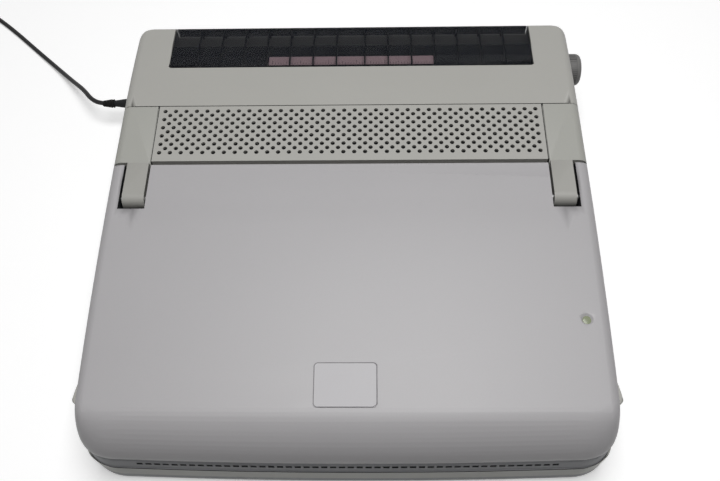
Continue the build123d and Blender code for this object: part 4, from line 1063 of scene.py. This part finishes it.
def coil_turns():
    """Turns laid beside and on each other: in and out across each layer, with a turn to climb."""
    centre, heading, outer = coil_place()
    step = 2 * CABLE_RADIUS
    across = COIL_COLUMNS - 1
    total = (across + 1) * COIL_LAYERS - 2 + (LEAVING - heading) / 360
    points = []
    count = round(total * TURN_POINTS)
    for index in range(count + 1):
        turned = total * index / count
        layer = min(int(turned // (across + 1)), COIL_LAYERS - 1)
        within = turned - layer * (across + 1)
        last = layer == COIL_LAYERS - 1
        crossing = total - layer * (across + 1) if last else across
        moved = min(within / crossing, 1.0)
        climb = max(0.0, within - across) if not last else 0.0
        inward = moved if layer % 2 == 0 else 1 - moved
        spot = centre + along(outer - inward * across * step, heading - 90 + 360 * turned)
        points.append((spot.x, spot.y, CABLE_RADIUS + (layer + climb) * step))
    return points, centre + along(outer, LEAVING - 90)


def nurbs_line(name, points, radius, finish):
    curve = bpy.data.curves.new(name, "CURVE")
    curve.dimensions = "3D"
    curve.bevel_depth = radius * MM
    curve.bevel_resolution = 5
    spline = curve.splines.new("NURBS")
    spline.points.add(len(points) - 1)
    for control, (x, y, z) in zip(spline.points, points):
        control.co = ((x + SIDE_SHIFT) * MM, y * MM, z * MM, 1)
    spline.order_u = 3
    spline.use_endpoint_u = True
    spline.resolution_u = 6
    line = link(bpy.data.objects.new(name, curve))
    curve.materials.append(finish)
    return line


SLEEVE_BORE = CABLE_RADIUS * 0.96
SLEEVE_RINGS = 6
RINGS_START = 0.16
RING_SHARE = 0.62
RING_FLANK = 0.25
GROOVE_DEPTH = 0.75


def ribbed_sleeve(name, start, heading, reach, thick, thin):
    """A tapering sleeve of soft rings round the lead, which keeps it from kinking."""
    profile = [(0.0, SLEEVE_BORE), (0.0, thick)]
    for index in range(SLEEVE_RINGS):
        near = reach * (RINGS_START + (1 - RINGS_START) * index / SLEEVE_RINGS)
        far = reach * (RINGS_START + (1 - RINGS_START) * (index + RING_SHARE) / SLEEVE_RINGS)
        outer = thick + (thin - thick) * (index + 0.3) / SLEEVE_RINGS
        groove = max(outer - GROOVE_DEPTH, CABLE_RADIUS + 0.25)
        profile += [(near, groove), (near + RING_FLANK, outer)]
        profile += [(far, outer - 0.1), (far + RING_FLANK, groove)]
    profile += [(reach, CABLE_RADIUS + 0.3), (reach, SLEEVE_BORE), (0.0, SLEEVE_BORE)]
    axis = along(1.0, heading)
    up = Vector((0, 0, 1))
    points = [(start + axis * distance + up * radius) * MM for distance, radius in profile]
    bm = spun(points, start * MM, axis, 32)
    sleeve = finish_mesh(bm, name, finishes["rubber"], smooth_angle=50.0)
    return settle(sleeve, "base", "rubber")


TIE_THICK = 0.9
TIE_WIDE = 4.6
TIE_TURN = 20.0
TIE_PLAY = 0.2
TIE_LEVEL = 0.42
LOCK_HALF = 3.6
LOCK_DEEP = 4.0
LOCK_TALL = 6.0
TAIL_BELOW = 7.0
TAIL_ABOVE = 15.0


def make_tie():
    """The band that holds the coil's turns together, with its lock and its free tail."""
    centre, _, outer = coil_place()
    inner = outer - (COIL_COLUMNS - 1) * 2 * CABLE_RADIUS - CABLE_RADIUS - TIE_THICK - TIE_PLAY
    beyond = outer + CABLE_RADIUS + TIE_THICK + TIE_PLAY
    top = COIL_LAYERS * 2 * CABLE_RADIUS + TIE_THICK + TIE_PLAY
    lock = top * TIE_LEVEL
    place = Matrix.Translation((centre + Vector((SIDE_SHIFT, 0, 0))) * MM)
    place @= Matrix.Rotation(math.radians(TIE_TURN), 4, "Z")
    half_wide = TIE_WIDE / 2
    bm = bmesh.new()
    for low, high in (
        ((inner, -half_wide, 0.0), (inner + TIE_THICK, half_wide, top)),
        ((beyond - TIE_THICK, -half_wide, 0.0), (beyond, half_wide, top)),
        ((inner, -half_wide, top - TIE_THICK), (beyond, half_wide, top)),
        ((inner, -half_wide, 0.0), (beyond, half_wide, TIE_THICK)),
        ((beyond - 0.2, -LOCK_HALF, lock), (beyond - 0.2 + LOCK_DEEP, LOCK_HALF, lock + LOCK_TALL)),
        ((beyond + 1.2, -half_wide, lock - TAIL_BELOW), (beyond + 2.2, half_wide, lock + TAIL_ABOVE)),
    ):
        add_block(bm, Vector(low) * MM, Vector(high) * MM)
    bmesh.ops.transform(bm, matrix=place, verts=bm.verts)
    tie = finish_mesh(bm, "coil_tie", finishes["dark_plastic"], smooth_angle=30.0)
    soften_edges(tie, 0.3)
    return settle(tie, "base", "dark_plastic")


def make_lead():
    turns, leave = coil_turns()
    top = turns[-1][2]
    ends = [leave + along(distance, LEAVING) for distance in STRAIGHT_ENDS]
    points = ROUTE + turns + [(end.x, end.y, top) for end in ends]
    lead = nurbs_line("power_lead", points, CABLE_RADIUS, finishes["lead"])
    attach(lead, "base")
    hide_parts("dc_cable", "cable_coil")
    first = Vector(ROUTE[0]) + Vector((SIDE_SHIFT, 0, 0))
    plug_sleeve = ribbed_sleeve(
        "plug_sleeve", first + Vector((1.0, 0, 0)), heading=180.0, reach=11.0, thick=4.2, thin=2.9
    )
    last = Vector((ends[-1].x + SIDE_SHIFT, ends[-1].y, top)) + along(0.5, LEAVING)
    adapter_sleeve = ribbed_sleeve(
        "adapter_sleeve", last, heading=LEAVING + 180.0, reach=13.0, thick=4.8, thin=3.0
    )
    tie = make_tie()


make_lead()
